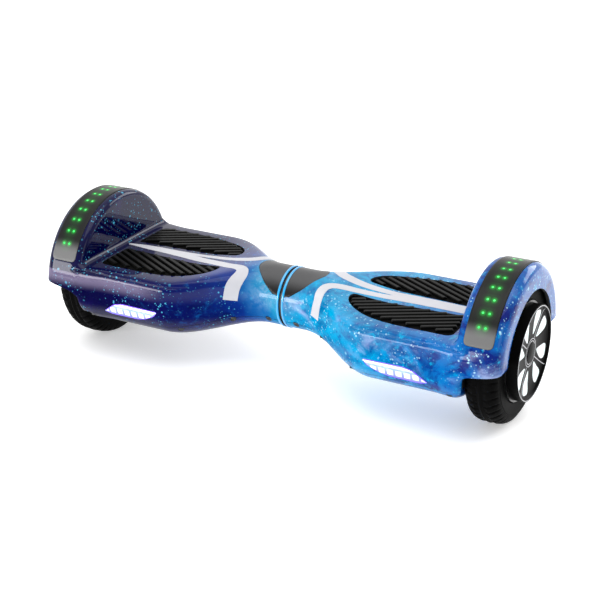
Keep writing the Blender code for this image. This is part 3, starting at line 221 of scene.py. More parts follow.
def net(field, low, high, step):
    """Quads over the surface where the field is zero."""
    axes = [np.arange(a, b + step, step) for a, b in zip(low, high)]
    x, y, z = axes
    value = np.concatenate([
        field(x[k:k + 16, None, None], y[None, :, None], z[None, None, :]).astype(np.float32)
        for k in range(0, len(x), 16)])
    inside = value < 0
    shape = np.array(value.shape)
    count = np.zeros(shape - 1, np.int8)
    for i in (0, 1):
        for j in (0, 1):
            for k in (0, 1):
                count += inside[i:shape[0] - 1 + i, j:shape[1] - 1 + j, k:shape[2] - 1 + k]
    active = (count > 0) & (count < 8)
    index = np.full(active.shape, -1, np.int64)
    cells = np.argwhere(active)
    index[active] = np.arange(len(cells))
    total = np.zeros((len(cells), 3))
    hits = np.zeros(len(cells))
    for axis in range(3):
        for i in (0, 1):
            for j in (0, 1):
                offset = np.zeros(3, np.int64)
                offset[(axis + 1) % 3], offset[(axis + 2) % 3] = i, j
                start = cells + offset
                end = start.copy()
                end[:, axis] += 1
                a = value[tuple(start.T)]
                b = value[tuple(end.T)]
                cross = (a < 0) != (b < 0)
                place = start[cross].astype(float)
                place[:, axis] += a[cross] / (a[cross] - b[cross])
                total[cross] += place
                hits[cross] += 1
    points = total / hits[:, None] * step + np.array(low)
    faces = []
    for axis in range(3):
        b, c = (axis + 1) % 3, (axis + 2) % 3
        first = np.take(inside, range(shape[axis] - 1), axis)
        cross = np.argwhere(first != np.take(inside, range(1, shape[axis]), axis))
        across, up = cross[:, b], cross[:, c]
        cross = cross[(across > 0) & (up > 0) & (across < shape[b] - 1) & (up < shape[c] - 1)]
        corners = []
        for i, j in ((-1, -1), (0, -1), (0, 0), (-1, 0)):
            cell = cross.copy()
            cell[:, b] += i
            cell[:, c] += j
            corners.append(index[tuple(cell.T)])
        quad = np.stack(corners, 1)
        out = first[tuple(cross.T)]
        faces.append(np.where(out[:, None], quad, quad[:, ::-1]))
    return settle(field, points), np.concatenate(faces)


def prism(name, outline, axis, start, end):
    """Straight prism; the outline is given in the two axes after the given one, in order."""
    count = len(outline)
    points = []
    for level in (start, end):
        for a, b in outline:
            points.append({"X": (level, a, b), "Y": (a, level, b), "Z": (a, b, level)}[axis])
    faces = [tuple(range(count)), tuple(range(2 * count - 1, count - 1, -1))]
    for k in range(count):
        following = (k + 1) % count
        faces.append((following, k, count + k, count + following))
    obj = new_object(name, take_mesh(name, points, faces), shade=False)
    bm = bmesh.new()
    bm.from_mesh(obj.data)
    bmesh.ops.recalc_face_normals(bm, faces=bm.faces)
    bm.to_mesh(obj.data)
    bm.free()
    return obj


def block(name, low, high):
    outline = [(low[0], low[1]), (high[0], low[1]), (high[0], high[1]), (low[0], high[1])]
    return prism(name, outline, "Z", low[2], high[2])


def tube(name, rings, steps, look):
    """Closed skin over rings of points, the last ring joined to the first."""
    faces = []
    for i in range(len(rings)):
        j = (i + 1) % len(rings)
        for k in range(steps):
            following = (k + 1) % steps
            faces.append((i * steps + k, i * steps + following, j * steps + following, j * steps + k))
    obj = new_object(name, take_mesh(name, np.concatenate(rings), faces), look)
    clean(obj)
    return obj


def turned(name, profile, steps, look=None):
    """Body of revolution round the axle; the profile holds (radius, along) pairs, going round the section."""
    angle = np.arange(steps) * math.tau / steps
    rings = [np.stack([np.full(steps, along), radius * np.cos(angle), AXLE_Z + radius * np.sin(angle)], 1)
             for radius, along in profile]
    return tube(name, rings, steps, look)


def bent(name, section, start, steps):
    """Part of a ring over the wheel, with flat ends; the section holds (radius, along) pairs."""
    turns = np.linspace(start, math.pi - start, steps)
    count = len(section)
    points = [(x, r * math.cos(t), AXLE_Z + r * math.sin(t)) for t in turns for r, x in section]
    faces = [tuple(range(count)), tuple(range(steps * count - 1, (steps - 1) * count - 1, -1))]
    for k in range(steps - 1):
        for i in range(count):
            j = (i + 1) % count
            faces.append((k * count + i, (k + 1) * count + i, (k + 1) * count + j, k * count + j))
    obj = new_object(name, take_mesh(name, points, faces), shade=False)
    clean(obj)
    return obj


def clean(obj):
    """Closes the tips on an axis and makes the faces look outwards."""
    bm = bmesh.new()
    bm.from_mesh(obj.data)
    bmesh.ops.remove_doubles(bm, verts=bm.verts, dist=1e-6)
    bmesh.ops.dissolve_degenerate(bm, dist=1e-7, edges=bm.edges)
    bmesh.ops.recalc_face_normals(bm, faces=bm.faces)
    bm.to_mesh(obj.data)
    bm.free()
    obj.data.set_sharp_from_angle(angle=math.radians(32))


def drop(*objects):
    for obj in objects:
        mesh = obj.data
        bpy.data.objects.remove(obj)
        bpy.data.meshes.remove(mesh)


def carve(obj, cutters, operation="DIFFERENCE"):
    """One exact cut with all the cutters, then the cutters are gone."""
    group = bpy.data.collections.new("cutters")
    for cutter in cutters:
        group.objects.link(cutter)
    cut = obj.modifiers.new("cut", "BOOLEAN")
    cut.operation = operation
    cut.operand_type = "COLLECTION"
    cut.collection = group
    cut.solver = "EXACT"
    cut.material_mode = "TRANSFER"
    bpy.context.view_layer.update()
    shaped = obj.evaluated_get(bpy.context.evaluated_depsgraph_get())
    mesh = bpy.data.meshes.new_from_object(shaped)
    obj.modifiers.clear()
    old = obj.data
    obj.data = mesh
    bpy.data.meshes.remove(old)
    bpy.data.collections.remove(group)
    drop(*cutters)


def true_normals(obj, field, tolerance=0.4):
    """Shades every corner that lies on the field's surface with the field's own direction."""
    mesh = obj.data
    mesh.set_sharp_from_angle(angle=math.radians(40))
    count = len(mesh.vertices)
    points = np.empty(count * 3)
    mesh.vertices.foreach_get("co", points)
    points = points.reshape(-1, 3) / MM
    side = points.copy()
    side[:, 0] = np.abs(side[:, 0])
    value = np.abs(field(*side.T))
    slope = gradient(field, side)
    slope[:, 0] *= np.sign(points[:, 0])
    slope /= np.maximum(np.linalg.norm(slope, axis=1), 1e-6)[:, None]
    corner = np.empty(len(mesh.loops), np.int64)
    mesh.loops.foreach_get("vertex_index", corner)
    flat = np.empty(len(mesh.polygons) * 3)
    mesh.polygons.foreach_get("normal", flat)
    flat = flat.reshape(-1, 3)
    size = np.empty(len(mesh.polygons), np.int64)
    mesh.polygons.foreach_get("loop_total", size)
    face = np.repeat(flat, size, axis=0)
    own = np.empty(len(mesh.loops) * 3)
    mesh.corner_normals.foreach_get("vector", own)
    own = own.reshape(-1, 3)
    good = (value[corner] < tolerance) & ((face * slope[corner]).sum(1) > 0.8)
    mesh.normals_split_custom_set(np.where(good[:, None], slope[corner], own).tolist())


def mirror(obj, name, look=None):
    """The other half's copy."""
    mesh = obj.data.copy()
    twin = bpy.data.objects.new(name, mesh)
    scene.collection.objects.link(twin)
    mesh.transform(Matrix.Diagonal((-1, 1, 1, 1)))
    mesh.flip_normals()
    if look is not None:
        mesh.materials[0] = look
    return twin


def join(name, objects):
    """One piece from several, with their materials."""
    bm = bmesh.new()
    looks = []
    for obj in objects:
        before = len(bm.faces)
        bm.from_mesh(obj.data)
        bm.faces.ensure_lookup_table()
        table = []
        for look in obj.data.materials:
            if look not in looks:
                looks.append(look)
            table.append(looks.index(look))
        for k in range(before, len(bm.faces)):
            bm.faces[k].material_index = table[bm.faces[k].material_index] if table else 0
    mesh = bpy.data.meshes.new(name)
    bm.to_mesh(mesh)
    bm.free()
    for look in looks:
        mesh.materials.append(look)
    drop(*objects)
    obj = bpy.data.objects.new(name, mesh)
    scene.collection.objects.link(obj)
    mesh.set_sharp_from_angle(angle=math.radians(35))
    return obj


def patch(name, outline, place, look, top=0.15, bottom=-0.4, step=2.5, edge=0.3, drop_edge=0.12):
    """A thin closed plate over an outline, laid on a surface by place(a, b, height)."""
    bm = bmesh.new()
    bm.faces.new([bm.verts.new((a, b, 0)) for a, b in outline])
    bm.normal_update()
    if next(iter(bm.faces)).normal.z < 0:
        bmesh.ops.reverse_faces(bm, faces=bm.faces)
    bmesh.ops.inset_region(bm, faces=bm.faces, thickness=edge, use_boundary=True, use_even_offset=True)
    for axis in (0, 1):
        low = min(p[axis] for p in outline)
        high = max(p[axis] for p in outline)
        count = max(1, int((high - low) / step))
        for k in range(1, count):
            cut = [0.0, 0.0, 0.0]
            way = [0.0, 0.0, 0.0]
            cut[axis] = mix(low, high, k / count)
            way[axis] = 1.0
            geometry = bm.verts[:] + bm.edges[:] + bm.faces[:]
            bmesh.ops.bisect_plane(bm, geom=geometry, dist=1e-5, plane_co=cut, plane_no=way)
    bmesh.ops.triangulate(bm, faces=[f for f in bm.faces if len(f.verts) > 4])
    bm.verts.ensure_lookup_table()
    bm.verts.index_update()
    flat = np.array([v.co[:2] for v in bm.verts])
    rim = np.array([v.is_boundary for v in bm.verts])
    upper = place(flat[:, 0], flat[:, 1], np.where(rim, top - drop_edge, top))
    lower = place(flat[:, 0], flat[:, 1], np.full(len(flat), bottom))
    count = len(flat)
    faces = [tuple(v.index for v in f.verts) for f in bm.faces]
    border = [(e.verts[0].index, e.verts[1].index) for e in bm.edges if e.is_boundary]
    bm.free()
    faces += [tuple(count + v for v in reversed(f)) for f in faces]
    faces += [(a, b, count + b, count + a) for a, b in border]
    obj = new_object(name, take_mesh(name, np.concatenate([upper, lower]), faces), look)
    clean(obj)
    return obj


def on_curve(before, a, b, after, t):
    """Point at share t of the way from a to b on a smooth line that also goes through their neighbours."""
    leave, arrive = (b - before) / 2, (after - a) / 2
    return (a * (2 * t ** 3 - 3 * t ** 2 + 1) + leave * (t ** 3 - 2 * t ** 2 + t)
            + b * (3 * t ** 2 - 2 * t ** 3) + arrive * (t ** 3 - t ** 2))


def closed_curve(points, steps):
    """Smooth closed line through the points."""
    p = np.array(points)
    count = len(p)
    return [tuple(on_curve(p[k - 1], p[k], p[(k + 1) % count], p[(k + 2) % count], i / steps))
            for k in range(count) for i in range(steps)]


# ---------------------------------------------------------------- places on the body
def on_section(x, angle, height):
    """Point on the body at a station and an angle from straight up (front is positive), lifted by height."""
    x, angle = np.broadcast_arrays(np.asarray(x, float), np.asarray(angle, float))
    mid = middle(x)
    c, s = np.cos(angle), -np.sin(angle)
    near, far = np.full(x.shape, 5.0), np.full(x.shape, 140.0)
    for _ in range(36):
        reach = (near + far) / 2
        out = body_field(np.abs(x), reach * s, mid + reach * c) > 0
        far = np.where(out, reach, far)
        near = np.where(out, near, reach)
    points = np.stack([x, near * s, mid + near * c], 1)
    side = points.copy()
    side[:, 0] = np.abs(side[:, 0])
    slope = gradient(body_field, side)
    slope[:, 0] *= np.where(x < 0, -1, 1)
    slope /= np.linalg.norm(slope, axis=1)[:, None]
    return points + slope * np.asarray(height)[:, None]


def over_deck(x, y):
    """Angle of a place on the upper side that is given in plan."""
    s = shoulder(x)
    power = mix(NECK_POWER, DECK_POWER, s)
    share = np.clip(np.abs(y) / half_width(x), 0, 0.999)
    curved = mix(NECK_R, CROWN_RISE, s) * (1 - share ** power) ** (1.0 / power)
    return np.arctan2(-np.asarray(y, float), np.minimum(mix(NECK_R, DECK_RISE, s), curved))


def front_wall(x, z, height):
    """Point on the front wall, given by its place in the front view."""
    x, z = np.asarray(x, float), np.asarray(z, float)
    near, far = np.zeros(x.shape), np.full(x.shape, 120.0)
    for _ in range(34):
        y = (near + far) / 2
        out = body_field(np.abs(x), y, z) > 0
        far = np.where(out, y, far)
        near = np.where(out, near, y)
    return np.stack([x, -near - np.asarray(height), z], 1)


# ---------------------------------------------------------------- materials
class Look:
    """A node material built by calls; numbers that stay the same are set on the shader itself."""

    def __init__(self, name, **sockets):
        self.material = bpy.data.materials.new(name)
        self.material.use_nodes = True
        self.tree = self.material.node_tree
        self.shader = self.tree.nodes["Principled BSDF"]
        for key, value in sockets.items():
            self.shader.inputs[key.replace("_", " ")].default_value = value
        self.place = self.tree.nodes.new("ShaderNodeTexCoord").outputs["Object"]
        split = self.tree.nodes.new("ShaderNodeSeparateXYZ")
        self.tree.links.new(self.place, split.inputs[0])
        self.x, self.y, self.z = split.outputs

    def feed(self, socket, value):
        if isinstance(value, bpy.types.NodeSocket):
            self.tree.links.new(value, socket)
        elif value is not None:
            socket.default_value = value

    def math(self, operation, a, b=None, c=None, clamp=False):
        node = self.tree.nodes.new("ShaderNodeMath")
        node.operation = operation
        node.use_clamp = clamp
        for socket, value in zip(node.inputs, (a, b, c)):
            self.feed(socket, value)
        return node.outputs[0]

    def times(self, a, b):
        return self.math("MULTIPLY", a, b)

    def plus(self, a, b, clamp=False):
        return self.math("ADD", a, b, clamp=clamp)

    def minus(self, a, b, clamp=False):
        return self.math("SUBTRACT", a, b, clamp=clamp)

    def away(self, value, middle_value):
        """How far a value is from the middle value, to either side."""
        return self.math("ABSOLUTE", self.minus(value, middle_value))

    def span(self, value, low, high, to_low=0.0, to_high=1.0, soft=True):
        """Maps low..high to to_low..to_high and stays there beyond both ends."""
        node = self.tree.nodes.new("ShaderNodeMapRange")
        node.interpolation_type = "SMOOTHSTEP" if soft else "LINEAR"
        items = {"Value": value, "From Min": low, "From Max": high, "To Min": to_low, "To Max": to_high}
        for key, item in items.items():
            self.feed(node.inputs[key], item)
        return node.outputs[0]

    def noise(self, scale, detail=3.0, rough=0.5, at=None, warp=0.0):
        node = self.tree.nodes.new("ShaderNodeTexNoise")
        self.feed(node.inputs["Vector"], at or self.place)
        for key, item in (("Scale", scale), ("Detail", detail), ("Roughness", rough), ("Distortion", warp)):
            node.inputs[key].default_value = item
        return node.outputs["Fac"]

    def cells(self, scale, at=None):
        node = self.tree.nodes.new("ShaderNodeTexVoronoi")
        self.feed(node.inputs["Vector"], at or self.place)
        node.inputs["Scale"].default_value = scale
        return node.outputs["Distance"], node.outputs["Color"]

    def blend(self, share, a, b):
        node = self.tree.nodes.new("ShaderNodeMix")
        node.data_type = "RGBA"
        for key, item in (("Factor", share), ("A", a), ("B", b)):
            sockets = [s for s in node.inputs if s.name == key and s.enabled]
            if isinstance(item, tuple):
                item = (*item, 1.0)
            self.feed(sockets[-1] if key != "Factor" else sockets[0], item)
        return next(s for s in node.outputs if s.enabled)

    def ramp(self, value, stops):
        node = self.tree.nodes.new("ShaderNodeValToRGB")
        self.feed(node.inputs[0], value)
        ramp = node.color_ramp
        while len(ramp.elements) < len(stops):
            ramp.elements.new(0.5)
        for element, (at, colour) in zip(ramp.elements, stops):
            element.position = at
            element.color = (*colour, 1.0)
        return node.outputs[0]

    def moved(self, scale=(1, 1, 1), turn=(0, 0, 0)):
        node = self.tree.nodes.new("ShaderNodeMapping")
        self.feed(node.inputs[0], self.place)
        node.inputs["Scale"].default_value = scale
        node.inputs["Rotation"].default_value = turn
        return node.outputs[0]

    def bump(self, height, strength, distance=0.0004):
        node = self.tree.nodes.new("ShaderNodeBump")
        node.inputs["Strength"].default_value = strength
        node.inputs["Distance"].default_value = distance
        self.feed(node.inputs["Height"], height)
        self.set("Normal", node.outputs[0])

    def set(self, key, value):
        self.feed(self.shader.inputs[key], value)
        return self


def stars(look, scale, size, rare, turn):
    """Round specks in those cells whose own random number is above rare."""
    near, tone = look.cells(scale, look.moved(turn=(turn, 2 * turn, 0.3)))
    pick = look.tree.nodes.new("ShaderNodeSeparateColor")
    look.tree.links.new(tone, pick.inputs[0])
    reach = look.times(look.span(pick.outputs[1], rare, 1.0, 0.25, 1.0, soft=False), size)
    speck = look.minus(1.0, look.math("DIVIDE", near, reach), clamp=True)
    return look.times(look.math("POWER", speck, 0.7), look.math("GREATER_THAN", pick.outputs[0], rare))


def starlight(look):
    """Small stars in crowds, some larger ones and a few large ones."""
    crowd = look.span(look.noise(22.0, 2.0, 0.5, look.moved(turn=(0.2, 0.8, 0.4))), 0.38, 0.60)
    small = look.times(stars(look, 420.0, 0.62, 0.55, 0.4), crowd)
    larger = look.times(stars(look, 170.0, 0.42, 0.72, 1.1), look.span(crowd, 0.0, 1.0, 0.35, 1.0))
    return look.plus(look.plus(small, larger), stars(look, 62.0, 0.24, 0.86, 2.3), clamp=True)


def night_clouds(look, base, cloud, fine):
    """Near-black and violet clouds, with blue dust towards the waist."""
    base = look.blend(look.span(cloud, 0.52, 0.72, 0.0, 0.55), base, (0.0005, 0.0003, 0.022))
    violet = look.noise(12.0, 3.0, 0.5, look.moved(turn=(0.9, 0.1, 0.2)))
    base = look.blend(look.span(violet, 0.55, 0.75, 0.0, 0.5), base, (0.020, 0.006, 0.16))
    dust = look.times(look.span(fine, 0.50, 0.75), look.span(look.x, -0.21, -0.03, 0.05, 0.75))
    return look.blend(look.times(dust, look.span(cloud, 0.42, 0.62)), base, (0.004, 0.16, 0.55))


def azure_clouds_and_sheen(look, base, cloud, fine):
    """Deep blue towards the wheel, fine light and dark grain, and light lilac cloud patches gathered into a
    band along the wall's middle height as a painted sheen.
    """
    deep = look.noise(21.0, 5.0, 0.6, look.moved((1.0, 1.0, 1.3), (1.2, 0.2, 0.5)), 0.5)
    far = look.span(look.x, 0.12, 0.25, 0.45, 1.0)
    base = look.blend(look.times(look.span(deep, 0.46, 0.60), far), base, (0.001, 0.010, 0.17))
    base = look.blend(look.span(fine, 0.52, 0.70, 0.0, 0.75), base, (0.001, 0.030, 0.26))
    base = look.blend(look.span(fine, 0.46, 0.30, 0.0, 0.8), base, (0.0, 0.42, 0.74))
    # Painted sheen: light lilac cloud patches in a band round the wall at mid height, standing in for the
    # soft box's reflection.
    along_wall = look.span(look.away(look.z, 0.096), 0.020, 0.006, 0.25, 1.0)
    wall_sheen = look.times(look.span(cloud, 0.50, 0.70), look.times(along_wall, 0.75))
    return look.blend(wall_sheen, base, (0.36, 0.46, 0.76))


NIGHT_STOPS = [
    (0.00, (0.0012, 0.0006, 0.036)), (0.30, (0.0008, 0.0005, 0.046)), (0.55, (0.0005, 0.0015, 0.075)),
    (0.68, (0.0004, 0.006, 0.12)), (0.80, (0.001, 0.03, 0.26)), (0.88, (0.001, 0.15, 0.46)),
    (0.94, (0.0, 0.34, 0.60)),
]
AZURE_STOPS = [
    (0.00, (0.0, 0.30, 0.58)), (0.25, (0.0, 0.34, 0.62)), (0.45, (0.0, 0.30, 0.60)),
    (0.62, (0.0, 0.23, 0.56)), (0.78, (0.001, 0.15, 0.48)), (1.00, (0.001, 0.10, 0.40)),
]
PRINT_LENGTH = 0.29


def sky_print_and_sheen(name, left):
    """Printed sky under clear lacquer: deep blue at the left end, cyan at the waist, azure beyond; with a
    painted sheen on the upper side of the waist and, on the left half, a painted highlight band on the front
    wall.
    """
    look = Look(name, Roughness=0.45, Specular_IOR_Level=0.0, Coat_Roughness=0.05, Coat_IOR=1.3)
    drift = look.minus(look.noise(9.0, 3.0, 0.55), 0.5)
    along = look.math("MULTIPLY_ADD", drift, 0.10 if left else 0.12, look.x)
    lean = look.math("MULTIPLY_ADD", look.minus(look.z, 0.09), 0.35, along)
    ends = (-PRINT_LENGTH, 0.0) if left else (0.0, PRINT_LENGTH)
    base = look.ramp(look.span(lean, *ends, soft=False), NIGHT_STOPS if left else AZURE_STOPS)
    cloud = look.noise(16.0, 6.0, 0.62, look.moved((1.0, 1.5, 1.7), (0.4, 0.3, 0.6)), 0.6)
    fine = look.noise(95.0, 5.0, 0.7, None, 0.4)
    base = (night_clouds if left else azure_clouds_and_sheen)(look, base, cloud, fine)
    # Painted sheen: light blue patches on the upper side of the waist, stronger towards the top where the
    # overhead light falls.
    by_waist = look.span(look.away(look.x, -0.006), 0.045, 0.010)
    upper = look.span(look.z, 0.078, 0.100, 0.1, 1.0)
    painted_waist_sheen = look.times(look.times(by_waist, upper), look.span(fine, 0.38, 0.62, 0.1, 0.6))
    base = look.blend(painted_waist_sheen, base, (0.30, 0.50, 0.74))
    base = look.blend(starlight(look), base, (0.10, 0.62, 0.93) if left else (0.48, 0.86, 1.0))
    if left:
        # Painted highlight: a lilac band under the crease on the left front wall, standing in for the front
        # soft box's reflection.
        painted_highlight = look.times(look.span(look.z, 0.088, 0.102), look.span(look.z, 0.1085, 0.1065))
        wall = look.times(look.span(look.y, -0.078, -0.086), look.span(look.x, -0.118, -0.165))
        base = look.blend(look.times(look.times(painted_highlight, wall), 0.7), base, (0.21, 0.17, 0.30))
    look.set("Base Color", look.blend(0.36 if left else 0.26, base, (0.0, 0.0, 0.002)))
    gloss_above = look.span(look.z, 0.088, 0.101, 0.1, 1.0)
    gloss_below = look.span(look.z, 0.074, 0.062, 0.0, 0.7)
    look.set("Coat Weight", look.plus(gloss_above, gloss_below, clamp=True))
    look.bump(look.noise(700.0, 1.0), 0.02)
    return look.material


def plain(name, colour, other, scale=60.0, grain=900.0, depth=0.08, **sockets):
    """One colour that varies a little, with a fine grain."""
    look = Look(name, **sockets)
    look.set("Base Color", look.blend(look.span(look.noise(scale, 4.0), 0.3, 0.7), colour, other))
    look.bump(look.noise(grain, 2.0, 0.6), depth)
    return look.material


def grey(level, blue=0.0):
    return (level, level, level + blue)


LOOKS = {
    "shell_left": sky_print_and_sheen("night_print_and_painted_sheen", True),
    "shell_right": sky_print_and_sheen("azure_print_and_painted_sheen", False),
    "inside": plain("inner_plastic", grey(0.012, 0.002), grey(0.02, 0.002), Roughness=0.55),
    "pad": plain("pad_rubber", grey(0.001), grey(0.002), 40.0, 1500.0, 0.12, Roughness=0.6,
                 Specular_IOR_Level=0.02),
    "rib": plain("rib_rubber", (0.002, 0.002, 0.0018), (0.004, 0.004, 0.0038), 50.0, 1500.0, 0.10,
                 Roughness=0.32, Specular_IOR_Level=0.05),
    "tyre": plain("tyre_rubber", grey(0.0008), grey(0.0018), 30.0, 1200.0, 0.15,
                  Roughness=0.5, Specular_IOR_Level=0.02),
    "stripe": plain("stripe_print", grey(0.44, 0.03), grey(0.48, 0.03), 20.0, 700.0, 0.01,
                    Roughness=0.4, Specular_IOR_Level=0.2),
    "gloss_black": plain("gloss_black", grey(0.002), grey(0.004), 30.0, 800.0, 0.02,
                         Roughness=0.3, Specular_IOR_Level=0.02),
    "black_plastic": plain("black_plastic", grey(0.015, 0.001), grey(0.022, 0.001), 50.0, 1400.0, 0.12,
                           Roughness=0.45),
    "outline": plain("silver_line", (0.42, 0.43, 0.45), grey(0.5, 0.02), 60.0, 900.0, 0.02, Roughness=0.3,
                     Metallic=0.6),
    "aluminium": plain("cast_aluminium", grey(0.42, 0.01), grey(0.55, 0.01), 45.0, 1100.0, 0.25,
                       Roughness=0.42, Metallic=1.0),
    "steel": plain("steel", grey(0.42, 0.01), grey(0.5), 90.0, 1600.0, 0.06, Roughness=0.28, Metallic=1.0),
    "dark_steel": plain("dark_steel", grey(0.05, 0.002), grey(0.09), 90.0, 1600.0, 0.06, Roughness=0.35,
                        Metallic=1.0),
    "bronze": plain("bronze", (0.42, 0.26, 0.09), (0.5, 0.32, 0.12), 70.0, 1500.0, 0.1,
                    Roughness=0.35, Metallic=1.0),
    "copper": plain("copper", (0.50, 0.20, 0.08), (0.62, 0.27, 0.11), 300.0, 1800.0, 0.4, Roughness=0.35,
                    Metallic=1.0),
    "magnet": plain("magnet", grey(0.20, 0.01), grey(0.28, 0.01), 60.0, 1500.0, 0.08,
                    Roughness=0.3, Metallic=1.0),
    "board": plain("circuit_board", (0.006, 0.07, 0.03), (0.010, 0.11, 0.045), 200.0, 1500.0, 0.15,
                   Roughness=0.4),
    "battery": plain("battery_wrap", (0.008, 0.04, 0.30), (0.012, 0.06, 0.38), 25.0, 500.0, 0.1,
                     Roughness=0.3),
}


def window_smoke():
    """Dark plastic of the status window, greyer where it lies high: a painted sheen of the overhead light on
    its upper part.
    """
    look = Look("smoked_window_and_painted_sheen", Roughness=0.26, Specular_IOR_Level=0.1)
    # Painted sheen: the window's colour turns greyer with height.
    look.set("Base Color", look.blend(look.span(look.z, 0.108, 0.124), grey(0.012), grey(0.075, 0.002)))
    look.bump(look.noise(900.0, 1.0), 0.02)
    return look.material


def lens_smoke():
    """Dark plastic over the row of lights: green glow round each pair, and grey at both ends as a painted
    reflection.
    """
    look = Look("smoked_lens", Roughness=0.26, Specular_IOR_Level=0.1)
    angle = look.math("ARCTAN2", look.minus(look.z, AXLE_Z * MM), look.times(look.y, -1.0))
    turn = look.times(angle, 180.0 / math.pi)
    steps = look.math("DIVIDE", look.minus(turn, LED_FIRST), LED_PITCH)
    nearest = look.math("MAXIMUM", look.math("ROUND", steps), 0.0)
    nearest = look.math("MINIMUM", nearest, float(LED_PAIRS - 1))
    along = look.times(look.minus(steps, nearest), math.radians(LED_PITCH) * LENS_R * MM)
    offset = look.minus(look.math("ABSOLUTE", look.x), LED_X * MM)
    aside = look.minus(look.math("ABSOLUTE", offset), LED_HALF * MM)
    from_pair, from_light = (
        look.math("SQRT", look.plus(look.math("POWER", along, 2.0), look.math("POWER", side, 2.0)))
        for side in (offset, aside))
    halo = look.span(from_pair, 0.0125, 0.002, 0.0, 0.055)
    # Painted reflection: the lens turns grey towards both ends, where it faces forwards and backwards.
    shade = look.span(look.away(turn, 90.0), 62.0, 52.0)
    look.set("Base Color", look.blend(shade, grey(0.13), (0.012, 0.013, 0.012)))
    look.set("Emission Color", (0.02, 1.0, 0.08, 1.0))
    look.set("Emission Strength", look.plus(halo, look.span(from_light, 0.0046, 0.0008, 0.0, 0.30)))
    look.bump(look.noise(900.0, 1.0), 0.02)
    return look.material


def glow(name, colour, strength):
    """Plastic that shines in its own colour."""
    look = Look(name, Roughness=0.25, Emission_Strength=strength)
    shade = look.blend(look.span(look.noise(120.0, 2.0), 0.3, 0.7), colour, tuple(0.85 * c for c in colour))
    look.set("Base Color", shade)
    look.set("Emission Color", shade)
    return look.material


def headlight_look():
    """Row of bright blocks and a bright line behind a ribbed lens."""
    look = Look("headlight", Roughness=0.12, Coat_Weight=0.6, Emission_Strength=0.6)
    along = look.minus(look.math("ABSOLUTE", look.x), 0.158)
    in_block = look.away(look.math("FRACT", look.math("DIVIDE", along, 0.0098)), 0.5)
    blocks = look.span(in_block, 0.40, 0.26)
    row = look.span(look.away(look.z, 0.0692), 0.0042, 0.0024, 0.0, 0.85)
    line = look.span(look.away(look.z, 0.0768), 0.0016, 0.0008, 0.0, 0.9)
    bright = look.plus(look.times(blocks, row), line, clamp=True)
    ribs = look.math("SINE", look.times(look.x, math.tau / 0.0016))
    colour = look.blend(look.span(look.z, 0.0625, 0.0775), (0.12, 0.10, 0.80), (0.28, 0.40, 0.95))
    colour = look.blend(look.span(look.noise(160.0, 2.0), 0.4, 0.6, 0.0, 0.35), colour, (0.05, 0.10, 0.75))
    colour = look.blend(bright, colour, (0.80, 0.97, 1.0))
    look.set("Base Color", colour)
    look.set("Emission Color", colour)
    look.bump(ribs, 0.15, 0.0003)
    return look.material


LOOKS["smoked"] = window_smoke()
LOOKS["lens"] = lens_smoke()
LOOKS["headlight"] = headlight_look()
LOOKS["headlight_rim"] = glow("headlight_rim", (0.16, 0.06, 0.80), 0.7)
LOOKS["led"] = glow("green_led", (0.03, 0.62, 0.10), 1.0)
LOOKS["lip"] = plain("waist_lip", (0.004, 0.27, 0.60), (0.006, 0.33, 0.68), 40.0, 700.0, 0.01, Roughness=0.2,
                     Coat_Weight=1.0)
LOOKS["petal"] = glow("lit_petal", (0.74, 0.90, 0.90), 0.42)
CAD_LOOKS = {
    "smoked_lens": "smoked", "pad_rubber": "pad", "tyre_rubber": "tyre", "cast_aluminium": "aluminium",
    "circuit_board": "board", "battery_wrap": "battery",
}
for entry in frame["record"]["subparts"]:
    slot = entry["material_slot"]
    look = LOOKS[CAD_LOOKS.get(slot, slot)]
    if entry["node"].endswith(("rotor_drum", "motor_cover")):
        look = LOOKS["dark_steel"]
    data = frame["nodes"][entry["node"]].data
    data.materials.clear()
    data.materials.append(look)


# ---------------------------------------------------------------- outlines
def circle(centre, radius, count=40):
    angle = np.arange(count) * math.tau / count
    return [(centre[0] + radius * math.cos(a), centre[1] + radius * math.sin(a)) for a in angle]


def rounded(outline, radius, steps=5):
    """The outline with its corners rounded."""
    out = []
    count = len(outline)
    radii = radius if isinstance(radius, (list, tuple)) else [radius] * count
    for k in range(count):
        corner = Vector(outline[k])
        before = Vector(outline[k - 1]) - corner
        after = Vector(outline[(k + 1) % count]) - corner
        turn = before.angle(after)
        reach = min(radii[k] / math.tan(turn / 2), before.length * 0.49, after.length * 0.49)
        if reach < 0.05 or turn > 3.1:
            out.append(tuple(corner))
            continue
        start, end = corner + before.normalized() * reach, corner + after.normalized() * reach
        for i in range(steps + 1):
            t = i / steps
            out.append(tuple(start * (1 - t) ** 2 + corner * 2 * t * (1 - t) + end * t ** 2))
    return out


def grown(outline, amount):
    """The outline moved outwards by the amount."""
    p = np.array(outline, float)
    back, ahead = p - np.roll(p, 1, 0), np.roll(p, -1, 0) - p
    back /= np.linalg.norm(back, axis=1)[:, None]
    ahead /= np.linalg.norm(ahead, axis=1)[:, None]
    area = (p[:, 0] * np.roll(p[:, 1], -1) - np.roll(p[:, 0], -1) * p[:, 1]).sum()
    side = 1.0 if area > 0 else -1.0
    normal = np.stack([back[:, 1] + ahead[:, 1], -back[:, 0] - ahead[:, 0]], 1) * side
    length = np.maximum(1.0 + (back * ahead).sum(1), 0.4)
    return [tuple(q) for q in p + normal / length[:, None] * amount]


